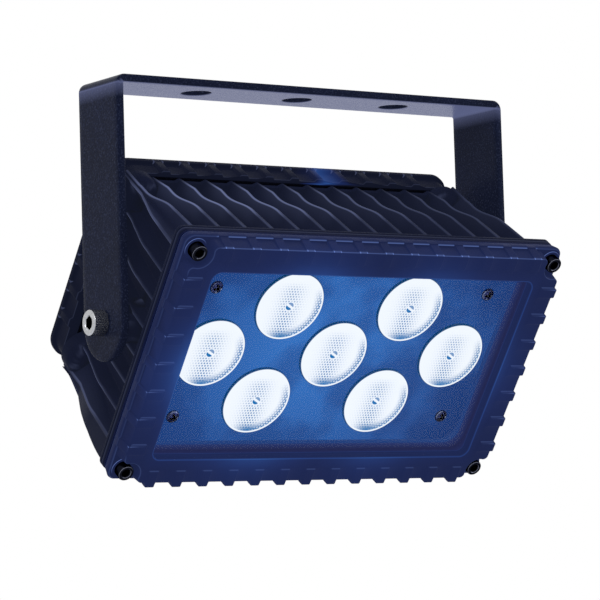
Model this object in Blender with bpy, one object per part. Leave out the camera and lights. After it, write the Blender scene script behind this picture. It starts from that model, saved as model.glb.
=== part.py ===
"""LED floodlight: a finned die-cast lamp with seven lenses, hung in a U bracket that it tilts in."""
import math

import bmesh
import bpy
from mathutils import Matrix, Vector

mm = 0.001

# Bracket: a flat bar bent to a U, hung from its crossbar; the origin is on the crossbar's top face
arm_outside = 118.4 * mm
bar_width = 38.0 * mm
bar_thickness = 4.0 * mm
bend_radius = 5.0 * mm
pivot_drop = 121.0 * mm
hang_hole_radius = 7.5 * mm
hang_hole_spacing = 61.0 * mm
pivot_hole_radius = 4.4 * mm
bar_edge = 0.8 * mm

# Pose at rest: how far the lamp looks down, and how far its middle sits above the pivot
look_down = math.radians(36.15)
lamp_rise = 2.4 * mm

# The lamp's own frame: x across, y up its face, z out of its front from the plane of the tilt axis
gap = 0.3 * mm
wrap_pitch_x = 15.5 * mm
wrap_pitch_y = 15.8 * mm

# Front bezel: a plain band behind, then panels with ribs that wrap from the ledge onto the face
bezel_back = 32.0 * mm
ledge = 37.4 * mm
bezel_face = 44.6 * mm
pad_top = 45.2 * mm
panel_x = 111.3 * mm
panel_y = 67.3 * mm
band_x = 113.8 * mm
band_y = 69.8 * mm
rib_rise = 2.4 * mm
rib_tip = 4.6 * mm
rib_root = 8.2 * mm
side_pad = 9.5 * mm
top_pad = 7.5 * mm
band_draft = 0.8 * mm
bezel_corner = 5.0 * mm
bezel_screw_x = 107.0 * mm
bezel_screw_y = 62.5 * mm
bezel_screw_length = 15.0 * mm
pocket_radius = 6.9 * mm
pocket_floor = 37.6 * mm
window_x = 96.4 * mm
window_y = 53.2 * mm
lip_back = 40.0 * mm
glass_x = 101.0 * mm
glass_y = 57.0 * mm
glass_thickness = 4.0 * mm

# Housing with its fins
flange_front = 30.0 * mm
flange_back = 23.6 * mm
flange_x = 113.0 * mm
flange_y = 68.6 * mm
flange_corner = 4.0 * mm
rear_plate_front = -44.5 * mm
rear_plate_back = -47.5 * mm
rear_plate = (97.6 * mm, 53.4 * mm)
core_front = (101.0 * mm, 56.2 * mm)
core_rear = (91.5 * mm, 46.0 * mm)
fin_tip = 2.2 * mm
fin_root = 3.8 * mm
post_chamfer = 5.0 * mm
post_foot = 0.8 * mm
recess_floor = 9.5 * mm
recess_x = 97.0 * mm
recess_y = 53.0 * mm
cavity_x = 87.0 * mm
cavity_y = 41.5 * mm
cavity_floor = 1.5 * mm
boss_radius = 11.0 * mm
boss_face = 111.6 * mm
screw_boss_radius = 10.0 * mm

# Rear cover
cover_front = -49.2 * mm
cover_back = -61.0 * mm
cover_x = 105.0 * mm
cover_y = 57.0 * mm
cover_wall = 3.0 * mm
cover_rib_tip = 3.6 * mm
cover_rib_root = 6.4 * mm
cover_screw_x = 94.5 * mm
cover_screw_y = 47.0 * mm
cover_pocket_floor = -54.0 * mm
cover_pocket_radius = 6.4 * mm

# Optics
lens_radius = 19.1 * mm
lens_row = 27.7 * mm
lens_step = 73.4 * mm
lens_sides = 14
plate_back = 27.0 * mm
plate_front = 28.5 * mm
plate_screw_length = 10.0 * mm
lens_proud = 1.3 * mm
plate_screw_x = 82.4 * mm
plate_screw_y = 37.3 * mm
board_back = recess_floor + gap
board_front = board_back + 1.6 * mm
board_screw_x = 86.0 * mm
board_screw_y = 44.0 * mm
wire_hole_y = -38.0 * mm

# Controls on the rear cover
key_spacing = 20.0 * mm
key_row = 2.0 * mm
key_radius = 4.6 * mm
key_travel = 1.0 * mm
display_y = 24.0 * mm
gland_row = -30.0 * mm
gland_spacing = 48.0 * mm
control_back = -52.0 * mm
control_front = -50.4 * mm
control_x = 58.0 * mm
control_low = -10.0 * mm
control_high = 38.0 * mm
switch_top = -54.0 * mm
gland_thread = 8.0 * mm
gland_bore = 4.0 * mm


def clear_scene():
    for thing in list(bpy.data.objects):
        bpy.data.objects.remove(thing, do_unlink=True)


def finish(name, colour, roughness, metallic=0.0, alpha=1.0):
    material = bpy.data.materials.new(name)
    material.use_nodes = True
    shader = material.node_tree.nodes["Principled BSDF"]
    shader.inputs["Base Color"].default_value = (*colour, 1.0)
    shader.inputs["Roughness"].default_value = roughness
    shader.inputs["Metallic"].default_value = metallic
    shader.inputs["Alpha"].default_value = alpha
    return material


def make_finishes():
    return {
        "bar": finish("textured black powder coat", (0.030, 0.034, 0.042), 0.62),
        "cast": finish("black coated die casting", (0.016, 0.018, 0.024), 0.48),
        "seal": finish("black silicone rubber", (0.012, 0.012, 0.013), 0.75),
        "steel": finish("bright steel", (0.56, 0.57, 0.58), 0.28, 1.0),
        "dark_steel": finish("blackened steel", (0.045, 0.047, 0.052), 0.38, 1.0),
        "glass": finish("toughened glass", (0.80, 0.86, 0.90), 0.04, 0.0, 0.25),
        "lens": finish("clear acrylic lens", (0.92, 0.96, 1.0), 0.12),
        "plate": finish("dark blue-black lens plate", (0.020, 0.026, 0.050), 0.40),
        "board": finish("green circuit board", (0.020, 0.110, 0.045), 0.45),
        "supply": finish("potted supply case", (0.075, 0.080, 0.085), 0.55),
        "plastic": finish("black moulded nylon", (0.020, 0.020, 0.022), 0.50),
        "window": finish("smoked acrylic window", (0.050, 0.010, 0.012), 0.10, 0.0, 0.60),
    }


def empty(name, parent=None, at=(0, 0, 0), turn=(0, 0, 0)):
    thing = bpy.data.objects.new(name, None)
    bpy.context.collection.objects.link(thing)
    thing.parent = parent
    thing.location = at
    thing.rotation_euler = turn
    return thing


def piece(name, shape, material=None, parent=None, at=(0, 0, 0), turn=(0, 0, 0), crease=32):
    """Turns a bmesh into a named object, smooth except at creases sharper than the given angle."""
    bmesh.ops.recalc_face_normals(shape, faces=shape.faces)
    mesh = bpy.data.meshes.new(name)
    shape.to_mesh(mesh)
    shape.free()
    mesh.shade_smooth()
    mesh.set_sharp_from_angle(angle=math.radians(crease))
    return place(name, mesh, material, parent, at, turn)


def place(name, mesh, material=None, parent=None, at=(0, 0, 0), turn=(0, 0, 0)):
    """A new object on a mesh that it may share with others."""
    thing = bpy.data.objects.new(name, mesh)
    bpy.context.collection.objects.link(thing)
    if material and not mesh.materials:
        mesh.materials.append(material)
    thing.parent = parent
    thing.location = at
    thing.rotation_euler = turn
    return thing


def combine(target, tool, operation):
    """Cuts the tool's shape from the target, or joins it on, by a Boolean that stays live."""
    tool.hide_render = True
    tool.display_type = "WIRE"
    modifier = target.modifiers.new(tool.name, "BOOLEAN")
    modifier.operation = operation
    modifier.solver = "EXACT"
    modifier.object = tool


def arc(centre_x, centre_y, radius, start, end, steps):
    """Points on an arc, angles in degrees, both ends included."""
    angles = [math.radians(start + (end - start) * i / steps) for i in range(steps + 1)]
    return [(centre_x + radius * math.cos(a), centre_y + radius * math.sin(a)) for a in angles]


def around(corner, right_run=(), top_run=()):
    """A closed outline from one corner and the runs between, repeated by mirror and half turn."""
    left_corner = [(-x, y) for x, y in reversed(corner)]
    half = list(right_run) + list(corner) + list(top_run) + left_corner
    return half + [(-x, -y) for x, y in half]


def rounded_rectangle(half_x, half_y, radius, steps=4):
    return around(arc(half_x - radius, half_y - radius, radius, 0, 90, steps))


def bitten_rectangle(half_x, half_y, centre_x, centre_y, radius, steps=6):
    """A rectangle whose corners are bitten off by circles round the corner screws."""
    start = math.degrees(math.asin((half_x - centre_x) / radius)) - 90
    end = -180 - math.degrees(math.asin((half_y - centre_y) / radius))
    return around(arc(centre_x, centre_y, radius, start, end, steps))


def polygon(sides, radius, turn=0.0):
    return arc(0, 0, radius, turn, turn + 360 * (sides - 1) / sides, sides - 1)


def hexagon(sides, across_flats):
    """A hexagon drawn with more points than its corners, to meet round rings point for point."""
    points = []
    for x, y in polygon(sides, 1.0):
        angle = math.degrees(math.atan2(y, x)) % 60 - 30
        reach = across_flats / 2 / math.cos(math.radians(angle))
        points.append((x * reach, y * reach))
    return points


def ring(outline, z):
    return [Vector((x, y, z)) for x, y in outline]


def loft(rings, closed=False):
    """Skins rings of equal length: capped at both ends, or joined back to the first."""
    shape = bmesh.new()
    rows = [[shape.verts.new(point) for point in points] for points in rings]
    count = len(rows[0])
    pairs = list(zip(rows, rows[1:] + rows[:1])) if closed else list(zip(rows, rows[1:]))
    for low, high in pairs:
        for i in range(count):
            j = (i + 1) % count
            shape.faces.new((low[i], low[j], high[j], high[i]))
    if not closed:
        shape.faces.new(list(reversed(rows[0])))
        shape.faces.new(rows[-1])
    return shape


def prism(outline, low, high):
    return loft([ring(outline, low), ring(outline, high)])


def turned(profile, sides):
    """Turns a profile of (radius, height) points, which starts and ends on the axis, about z."""
    shape = bmesh.new()
    rows = []
    for radius, z in profile:
        points = polygon(sides, radius) if radius > 0 else [(0, 0)]
        rows.append([shape.verts.new((x, y, z)) for x, y in points])
    for low, high in zip(rows, rows[1:]):
        for i in range(sides):
            j = (i + 1) % sides
            corners = [low[i % len(low)], low[j % len(low)], high[j % len(high)], high[i % len(high)]]
            shape.faces.new(list(dict.fromkeys(corners)))
    return shape


def gather(*shapes):
    """Several closed shapes in one mesh, for use as one cutter."""
    whole = bmesh.new()
    for shape in shapes:
        mesh = bpy.data.meshes.new("part of a cutter")
        shape.to_mesh(mesh)
        shape.free()
        whole.from_mesh(mesh)
        bpy.data.meshes.remove(mesh)
    return whole


def moved(shape, x, y, z=0.0):
    bmesh.ops.translate(shape, verts=shape.verts, vec=(x, y, z))
    return shape


def corners(x, y):
    """The four corner places, in order from top right round to bottom right."""
    return [(x, y), (-x, y), (-x, -y), (x, -y)]


def multiples(pitch, count):
    """Evenly spaced places centred on zero."""
    return [pitch * (i - (count - 1) / 2) for i in range(count)]


def smooth_step(value, start, end):
    t = min(max((value - start) / (end - start), 0.0), 1.0)
    return t * t * (3 - 2 * t)


def ramp(value, start, end):
    return min(max((value - start) / (end - start), 0.0), 1.0)


def between(value, stations, readings):
    """Reads a broken line at a value: the readings belong to rising stations."""
    total = readings[0]
    for i in range(len(stations) - 1):
        total += (readings[i + 1] - readings[i]) * ramp(value, stations[i], stations[i + 1])
    return total


# Bracket

def bar_path():
    """Middle line of the bent bar as (x, z, turn), from the left arm's end to the right arm's."""
    x_mid = arm_outside - bar_thickness / 2
    z_mid = -bar_thickness / 2
    radius = bend_radius - bar_thickness / 2
    end_radius = bar_width / 2
    left = [(-x_mid, -pivot_drop - end_radius * math.cos(math.radians(a)), 90) for a in (0, 16, 34, 52, 71, 90)]
    bend = []
    for step in range(5):
        angle = 180 - 90 * step / 4
        x = -x_mid + radius + radius * math.cos(math.radians(angle))
        z = z_mid - radius + radius * math.sin(math.radians(angle))
        bend.append((x, z, angle - 90))
    left += bend
    right = [(-x, z, -turn) for x, z, turn in reversed(left)]
    return left + right


def half_width_at(z):
    """Half the bar's width at a height: full, but half round below the pivots."""
    below = max(-pivot_drop - z, 0.0)
    return math.sqrt(max((bar_width / 2) ** 2 - below ** 2, 0.0))


def build_bracket(finishes):
    rings = []
    for x, z, turn in bar_path():
        out_x = -math.sin(math.radians(turn)) * bar_thickness / 2
        out_z = math.cos(math.radians(turn)) * bar_thickness / 2
        half = half_width_at(z)
        rings.append([
            Vector((x + out_x, -half, z + out_z)),
            Vector((x + out_x, half, z + out_z)),
            Vector((x - out_x, half, z - out_z)),
            Vector((x - out_x, -half, z - out_z)),
        ])
    shape = loft(rings)
    bmesh.ops.remove_doubles(shape, verts=shape.verts, dist=0.01 * mm)
    bmesh.ops.dissolve_degenerate(shape, edges=shape.edges, dist=0.01 * mm)
    bracket = piece("bracket", shape, finishes["bar"])
    softened = bracket.modifiers.new("softened edges", "BEVEL")
    softened.width = bar_edge
    softened.segments = 1
    softened.limit_method = "ANGLE"
    softened.angle_limit = math.radians(40)
    holes = [moved(prism(polygon(18, hang_hole_radius), -2 * bar_thickness, bar_thickness), x, 0)
             for x in multiples(hang_hole_spacing, 3)]
    combine(bracket, piece("hang hole cutter", gather(*holes)), "DIFFERENCE")
    through = prism(polygon(18, pivot_hole_radius), -2 * arm_outside, 2 * arm_outside)
    pivots = piece("pivot hole cutter", through, at=(0, 0, -pivot_drop), turn=(0, math.pi / 2, 0))
    combine(bracket, pivots, "DIFFERENCE")


# Screws, all drawn along z with the bearing face at z = 0 and the head above

def socket_screw(head_radius, head_height, shank_radius, length, key_size, sides):
    socket_depth = head_height * 0.55
    chamfer = 0.5 * mm
    return loft([
        ring(polygon(sides, shank_radius - chamfer), -length),
        ring(polygon(sides, shank_radius), -length + chamfer),
        ring(polygon(sides, shank_radius), 0),
        ring(polygon(sides, head_radius), 0),
        ring(polygon(sides, head_radius), head_height - chamfer),
        ring(polygon(sides, head_radius - chamfer), head_height),
        ring(hexagon(sides, key_size), head_height),
        ring(hexagon(sides, key_size), head_height - socket_depth),
    ])


def pan_screw(head_radius, head_height, shank_radius, length, sides):
    return turned([
        (0, -length),
        (shank_radius, -length),
        (shank_radius, 0),
        (head_radius, 0),
        (head_radius, head_height * 0.45),
        (head_radius * 0.72, head_height),
        (0, head_height),
    ], sides)


def build_clamp_screws(finishes, tilt_axis):
    screw = socket_screw(6.5 * mm, 8.0 * mm, 4.0 * mm, 22.0 * mm, 6.0 * mm, 18)
    washer_foot = boss_face + gap
    washer_thickness = arm_outside - bar_thickness - gap - washer_foot
    washer = loft([
        ring(polygon(18, 9.5 * mm), 0),
        ring(polygon(18, 9.5 * mm), washer_thickness),
        ring(polygon(18, 4.4 * mm), washer_thickness),
        ring(polygon(18, 4.4 * mm), 0),
    ], closed=True)
    right_turn = (0, math.pi / 2, 0)
    left_turn = (0, -math.pi / 2, 0)
    bearing = arm_outside + gap
    first = piece("clamp_screw_right", screw, finishes["steel"], tilt_axis, (bearing, 0, 0), right_turn)
    place("clamp_screw_left", first.data, None, tilt_axis, (-bearing, 0, 0), left_turn)
    first = piece("pivot_washer_right", washer, finishes["seal"], tilt_axis, (washer_foot, 0, 0), right_turn)
    place("pivot_washer_left", first.data, None, tilt_axis, (-washer_foot, 0, 0), left_turn)


# Housing

def fin_reach(z):
    """How far the fins reach across and up at a depth: a slow flare, then an S up to the flange."""
    across = 98.9 * mm + 3.2 * mm * ramp(z, -47.5 * mm, -24 * mm)
    across += 5.3 * mm * smooth_step(z, -32 * mm, 0) + 2.0 * mm * ramp(z, 0, flange_back)
    up = 54.8 * mm + 3.4 * mm * ramp(z, -47.5 * mm, -31 * mm)
    up += 5.9 * mm * smooth_step(z, -26 * mm, mm) + 1.5 * mm * ramp(z, mm, flange_back)
    return across, up


def post_reach(z):
    """Where the outer corner of a corner post lies at a depth."""
    depths = (-47.5, -36, -18, -3, 8, 23.6)
    return [between(z / mm, depths, reach) * mm
            for reach in ((98.5, 102.0, 104.5, 108.3, 110.5, 111.8), (56.0, 60.0, 63.5, 64.0, 65.0, 66.2))]


def core_size(z):
    t = ramp(z, rear_plate_front, recess_floor)
    return [rear + (front - rear) * t for rear, front in zip(core_rear, core_front)]


def toothed_run(places, base, rise, tip, root):
    """Teeth along a side as (place, height) points."""
    points = []
    for place_at in places:
        points += [
            (place_at - root / 2, base),
            (place_at - tip / 2, base + rise),
            (place_at + tip / 2, base + rise),
            (place_at + root / 2, base),
        ]
    return points


def toothed_outline(base_x, base_y, rise_x, rise_y, xs, ys, tip, root, corner):
    right = [(height, y) for y, height in toothed_run(ys, base_x, rise_x, tip, root)]
    top = [(-x, height) for x, height in toothed_run(xs, base_y, rise_y, tip, root)]
    return around(corner, right, top)


def post_corner(z, base):
    """The corner post's outline from its side foot over its chamfer to its top foot."""
    reach_x, reach_y = post_reach(z)
    back = ramp(z, flange_back, rear_plate_back)
    side_y = 55.0 * mm - 4.5 * mm * back
    ridge_x = 101.5 * mm - 7.0 * mm * back
    crest = (reach_x - 3.4 * mm, reach_y)
    ridge = (ridge_x, reach_y - 0.9 * mm)
    side_foot = min(side_y - post_foot, base[1] - 2.5 * mm)
    top_foot = min(ridge_x - post_foot, base[0] - 2.5 * mm)
    return [
        (base[0], side_foot),
        (reach_x - 0.6 * mm, side_y),
        (reach_x, reach_y - post_chamfer),
        (reach_x - 1.2 * mm, reach_y - 1.9 * mm),
        crest,
        ((crest[0] + ridge[0]) / 2, (crest[1] + ridge[1]) / 2),
        ridge,
        (top_foot, base[1]),
    ]


def build_housing(finishes, lamp):
    top_fins = multiples(wrap_pitch_x, 12)
    side_fins = multiples(wrap_pitch_y, 6)

    def fin_ring(z, base):
        reach_x, reach_y = fin_reach(z)
        outline = toothed_outline(base[0], base[1], reach_x - base[0], reach_y - base[1],
                                  top_fins, side_fins, fin_tip, fin_root, post_corner(z, base))
        return ring(outline, z)

    rear = fin_ring(rear_plate_back, rear_plate)
    rings = [rear, [Vector((point.x, point.y, rear_plate_front)) for point in rear]]
    rings += [fin_ring(z * mm, core_size(z * mm)) for z in (-44.2, -28, -17, -6)]
    rings.append(fin_ring(flange_back + 0.5 * mm, core_front))
    body = piece("heatsink_body", loft(rings), finishes["cast"], lamp, crease=50)

    added = [prism(rounded_rectangle(flange_x, flange_y, flange_corner), flange_back, flange_front)]
    boss_foot = rear_plate_back + 0.2 * mm
    for x, y in corners(cover_screw_x, cover_screw_y):
        added.append(moved(turned([
            (0, boss_foot),
            (screw_boss_radius, boss_foot),
            (screw_boss_radius, -42 * mm),
            (screw_boss_radius * 0.85, -38.6 * mm),
            (screw_boss_radius * 0.5, -36.4 * mm),
            (0, -35.8 * mm),
        ], 16), x, y))
    side_boss = turned([(0, -boss_face), (boss_radius - mm, -boss_face), (boss_radius, -boss_face + mm),
                        (boss_radius, -95 * mm), (0, -95 * mm)], 18)
    for turn in (1, -1):
        boss = side_boss.copy()
        bmesh.ops.rotate(boss, verts=boss.verts, matrix=axis_turn(turn * math.pi / 2))
        added.append(moved(boss, 0, -lamp_rise))
    side_boss.free()
    combine(body, piece("boss shapes", gather(*added), parent=lamp), "UNION")

    cuts = [
        prism(rounded_rectangle(recess_x, recess_y, 8 * mm), recess_floor, flange_front + 2 * mm),
        prism(rounded_rectangle(cavity_x, cavity_y, 6 * mm), rear_plate_back - 2 * mm, cavity_floor),
        moved(prism(polygon(12, 4 * mm), cavity_floor - 2 * mm, recess_floor + 2 * mm), 0, wire_hole_y),
    ]
    bezel_hole_end = pocket_floor + gap - bezel_screw_length - mm
    for x, y in corners(bezel_screw_x, bezel_screw_y):
        cuts.append(moved(prism(polygon(12, 2.7 * mm), bezel_hole_end, flange_front + 2 * mm), x, y))
    for x, y in corners(cover_screw_x, cover_screw_y):
        cuts.append(moved(prism(polygon(12, 2.7 * mm), rear_plate_back - 2 * mm, -39.5 * mm), x, y))
    combine(body, piece("housing cutter", gather(*cuts), parent=lamp), "DIFFERENCE")

    posts = [moved(prism(polygon(10, 4 * mm), recess_floor - mm, plate_back - gap), x, y)
             for x, y in corners(plate_screw_x, plate_screw_y)]
    combine(body, piece("lens plate posts", gather(*posts), parent=lamp), "UNION")
    plate_hole_end = plate_front + gap - plate_screw_length - mm
    drill = [moved(prism(polygon(10, 1.8 * mm), plate_hole_end, plate_back), x, y)
             for x, y in corners(plate_screw_x, plate_screw_y)]
    for side in (1, -1):
        blind = prism(polygon(18, 4.3 * mm), side * 93.5 * mm, side * (boss_face + mm))
        bmesh.ops.rotate(blind, verts=blind.verts, matrix=axis_turn(math.pi / 2))
        drill.append(moved(blind, 0, -lamp_rise))
    for x, y in corners(board_screw_x, board_screw_y):
        drill.append(moved(prism(polygon(8, 1.4 * mm), 3.5 * mm, recess_floor + mm), x, y))
    combine(body, piece("screw hole cutter", gather(*drill), parent=lamp), "DIFFERENCE")


def axis_turn(angle):
    """Turns a shape drawn along z to lie along x."""
    return Matrix.Rotation(angle, 3, "Y")


# Bezel, seal and glass

def wrapped_outline(half_x, half_y, rise, counts, radius, tip=rib_tip, root=rib_root):
    """A rim outline with ribs at whole pitches."""
    across, up = counts
    corner = arc(half_x - radius, half_y - radius, radius, 0, 90, 3)
    return toothed_outline(half_x, half_y, rise, rise, multiples(wrap_pitch_x, across),
                           multiples(wrap_pitch_y, up), tip, root, corner)


def lifted(outline, z_low, z_high, half_x, half_y):
    """A ring whose rib tips, beyond the given outline, stand at a different height."""
    return [Vector((x, y, z_high if abs(x) > half_x + 1e-6 or abs(y) > half_y + 1e-6 else z_low))
            for x, y in outline]


def corner_pocket():
    """The outline cut from a bezel corner: a circle round the screw that flares to both rims."""
    outer = 125 * mm
    round_screw = arc(bezel_screw_x, bezel_screw_y, pocket_radius, 158, 276, 8)
    return [(92.4 * mm, 71 * mm), *round_screw, (116.6 * mm, 49.3 * mm), (outer, 49.3 * mm),
            (outer, outer), (92.4 * mm, outer)]


def mirrored(outline, side_x, side_y):
    """An outline in another quarter, kept in the same turning sense."""
    points = [(x * side_x, y * side_y) for x, y in outline]
    return points if side_x * side_y > 0 else points[::-1]


def build_bezel(finishes, lamp):
    counts = (13, 7)
    hair = 0.02 * mm
    bezel = piece("front_bezel", loft([
        ring(rounded_rectangle(band_x - band_draft, band_y - band_draft, bezel_corner), bezel_back),
        ring(rounded_rectangle(band_x, band_y, bezel_corner), ledge),
    ]), finishes["cast"], lamp)
    panels = wrapped_outline(panel_x, panel_y, rib_rise, counts, bezel_corner)
    end_x = panel_x - side_pad
    end_y = panel_y - top_pad
    pad_ends = wrapped_outline(end_x, end_y, hair, counts, bezel_corner - mm)
    inner = wrapped_outline(end_x - 0.3 * mm, end_y - 0.3 * mm, 0, counts, bezel_corner - mm)
    ribbed = loft([
        ring(panels, ledge - 0.5 * mm),
        lifted(panels, bezel_face, pad_top, panel_x, panel_y),
        lifted(pad_ends, bezel_face, pad_top, end_x, end_y),
        ring(inner, bezel_face),
    ])
    combine(bezel, piece("ribbed front", ribbed, parent=lamp), "UNION")
    cuts = [
        prism(rounded_rectangle(glass_x + 2 * gap, glass_y + 2 * gap, 6 * mm), bezel_back - mm, lip_back),
    ]
    for side_x, side_y in corners(1, 1):
        cuts.append(prism(mirrored(corner_pocket(), side_x, side_y), pocket_floor, pad_top + 2 * mm))
    combine(bezel, piece("bezel cutter", gather(*cuts), parent=lamp), "DIFFERENCE")
    window = loft([
        ring(rounded_rectangle(window_x, window_y, 4 * mm), lip_back - mm),
        ring(rounded_rectangle(window_x, window_y, 4 * mm), bezel_face - 0.6 * mm),
        ring(rounded_rectangle(window_x + mm, window_y + mm, 5 * mm), bezel_face + 0.4 * mm),
    ])
    combine(bezel, piece("window cutter", window, parent=lamp), "DIFFERENCE")
    holes = [moved(prism(polygon(12, 2.8 * mm), bezel_back - mm, pocket_floor + mm), x, y)
             for x, y in corners(bezel_screw_x, bezel_screw_y)]
    combine(bezel, piece("bezel screw hole cutter", gather(*holes), parent=lamp), "DIFFERENCE")

    screw = socket_screw(4.25 * mm, 5.0 * mm, 2.5 * mm, bezel_screw_length, 4.0 * mm, 12)
    mesh = None
    for number, (x, y) in enumerate(corners(bezel_screw_x, bezel_screw_y), 1):
        at = (x, y, pocket_floor + gap)
        if mesh:
            place(f"bezel_screw_{number}", mesh, None, lamp, at)
        else:
            mesh = piece(f"bezel_screw_{number}", screw, finishes["dark_steel"], lamp, at).data


def build_seals_and_glass(finishes, lamp):
    seal_top = flange_front + gap + 1.4 * mm
    glass_back = lip_back - gap - glass_thickness
    outer = rounded_rectangle(flange_x - 0.7 * mm, flange_y - 0.7 * mm, 5 * mm, 2)
    step = rounded_rectangle(glass_x + gap, glass_y + gap, 5 * mm, 2)
    bore = rounded_rectangle(recess_x + 0.4 * mm, recess_y + 0.4 * mm, 8 * mm, 2)
    seal = piece("front_gasket", loft([
        ring(outer, flange_front + gap),
        ring(outer, seal_top),
        ring(step, seal_top),
        ring(step, glass_back - gap),
        ring(bore, glass_back - gap),
        ring(bore, flange_front + gap),
    ], closed=True), finishes["seal"], lamp)
    holes = [moved(prism(polygon(8, 3.0 * mm), flange_front - mm, seal_top + mm), x, y)
             for x, y in corners(bezel_screw_x, bezel_screw_y)]
    combine(seal, piece("gasket hole cutter", gather(*holes), parent=lamp), "DIFFERENCE")
    pane = prism(rounded_rectangle(glass_x, glass_y, 5 * mm, 2), glass_back, glass_back + glass_thickness)
    piece("front_glass", pane, finishes["glass"], lamp)

    rear_outer = rounded_rectangle(98.7 * mm, 54.2 * mm, 5 * mm, 2)
    rear_bore = rounded_rectangle(cavity_x + 0.5 * mm, cavity_y + 0.5 * mm, 6 * mm, 2)
    rear = piece("rear_gasket", loft([
        ring(rear_outer, cover_front + gap),
        ring(rear_outer, rear_plate_back - gap),
        ring(rear_bore, rear_plate_back - gap),
        ring(rear_bore, cover_front + gap),
    ], closed=True), finishes["seal"], lamp)
    holes = [moved(prism(polygon(8, 3.0 * mm), cover_front - mm, rear_plate_back + mm), x, y)
             for x, y in corners(cover_screw_x, cover_screw_y)]
    combine(rear, piece("rear gasket hole cutter", gather(*holes), parent=lamp), "DIFFERENCE")


# Lenses, their plate and the lamp's circuit board

def lens_places():
    """Seven lenses in rows of two, three and two."""
    places = [(x, lens_row) for x in multiples(lens_step, 2)]
    places += [(x, 0) for x in multiples(lens_step, 3)]
    places += [(x, -lens_row) for x in multiples(lens_step, 2)]
    return places


def build_optics(finishes, lamp):
    plate = piece("lens_plate", prism(rounded_rectangle(96.4 * mm, 52.4 * mm, 10 * mm), plate_back, plate_front),
                  finishes["plate"], lamp)
    holes = [moved(prism(polygon(lens_sides, lens_radius + 0.4 * mm), plate_back - mm, plate_front + mm), x, y)
             for x, y in lens_places()]
    holes += [moved(prism(polygon(10, 1.8 * mm), plate_back - mm, plate_front + mm), x, y)
              for x, y in corners(plate_screw_x, plate_screw_y)]
    combine(plate, piece("lens plate cutter", gather(*holes), parent=lamp), "DIFFERENCE")

    flange_top = plate_back - gap
    front = plate_front + lens_proud
    foot = board_front + 0.5 * mm
    lens = turned([
        (0, front),
        (lens_radius - 0.4 * mm, front),
        (lens_radius, front - 0.4 * mm),
        (lens_radius, flange_top),
        (lens_radius + 1.2 * mm, flange_top),
        (lens_radius + 1.2 * mm, flange_top - 1.4 * mm),
        (16.8 * mm, 20.8 * mm),
        (9.2 * mm, foot),
        (5.0 * mm, foot),
        (0, 17.4 * mm),
    ], lens_sides)
    mesh = None
    for number, (x, y) in enumerate(lens_places(), 1):
        if mesh:
            place(f"lens_{number}", mesh, None, lamp, (x, y, 0))
        else:
            mesh = piece(f"lens_{number}", lens, finishes["lens"], lamp, (x, y, 0)).data

    screw = pan_screw(3.5 * mm, 2.2 * mm, 1.5 * mm, plate_screw_length, 10)
    mesh = None
    for number, (x, y) in enumerate(corners(plate_screw_x, plate_screw_y), 1):
        at = (x, y, plate_front + gap)
        if mesh:
            place(f"plate_screw_{number}", mesh, None, lamp, at)
        else:
            mesh = piece(f"plate_screw_{number}", screw, finishes["steel"], lamp, at).data

    board = piece("led_board", prism(rounded_rectangle(94 * mm, 50.5 * mm, 6 * mm), board_back, board_front),
                  finishes["board"], lamp)
    domes = [moved(turned([(0, board_front - mm), (3.6 * mm, board_front - mm), (3.0 * mm, board_front + 1.4 * mm),
                           (0, board_front + 3.0 * mm)], 8), x, y)
             for x, y in lens_places()]
    combine(board, piece("led domes", gather(*domes), parent=lamp), "UNION")
    holes = [moved(prism(polygon(10, 4.4 * mm), board_back - mm, board_front + mm), x, y)
             for x, y in corners(plate_screw_x, plate_screw_y)]
    holes += [moved(prism(polygon(8, 1.6 * mm), board_back - mm, board_front + mm), x, y)
              for x, y in corners(board_screw_x, board_screw_y)]
    holes.append(moved(prism(polygon(12, 4 * mm), board_back - mm, board_front + mm), 0, wire_hole_y))
    combine(board, piece("led board cutter", gather(*holes), parent=lamp), "DIFFERENCE")

    screw = pan_screw(2.6 * mm, 1.8 * mm, 1.2 * mm, 6 * mm, 8)
    mesh = None
    for number, (x, y) in enumerate(corners(board_screw_x, board_screw_y), 1):
        at = (x, y, board_front + gap)
        if mesh:
            place(f"led_board_screw_{number}", mesh, None, lamp, at)
        else:
            mesh = piece(f"led_board_screw_{number}", screw, finishes["steel"], lamp, at).data


# Rear cover with its controls and cable inlets

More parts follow.
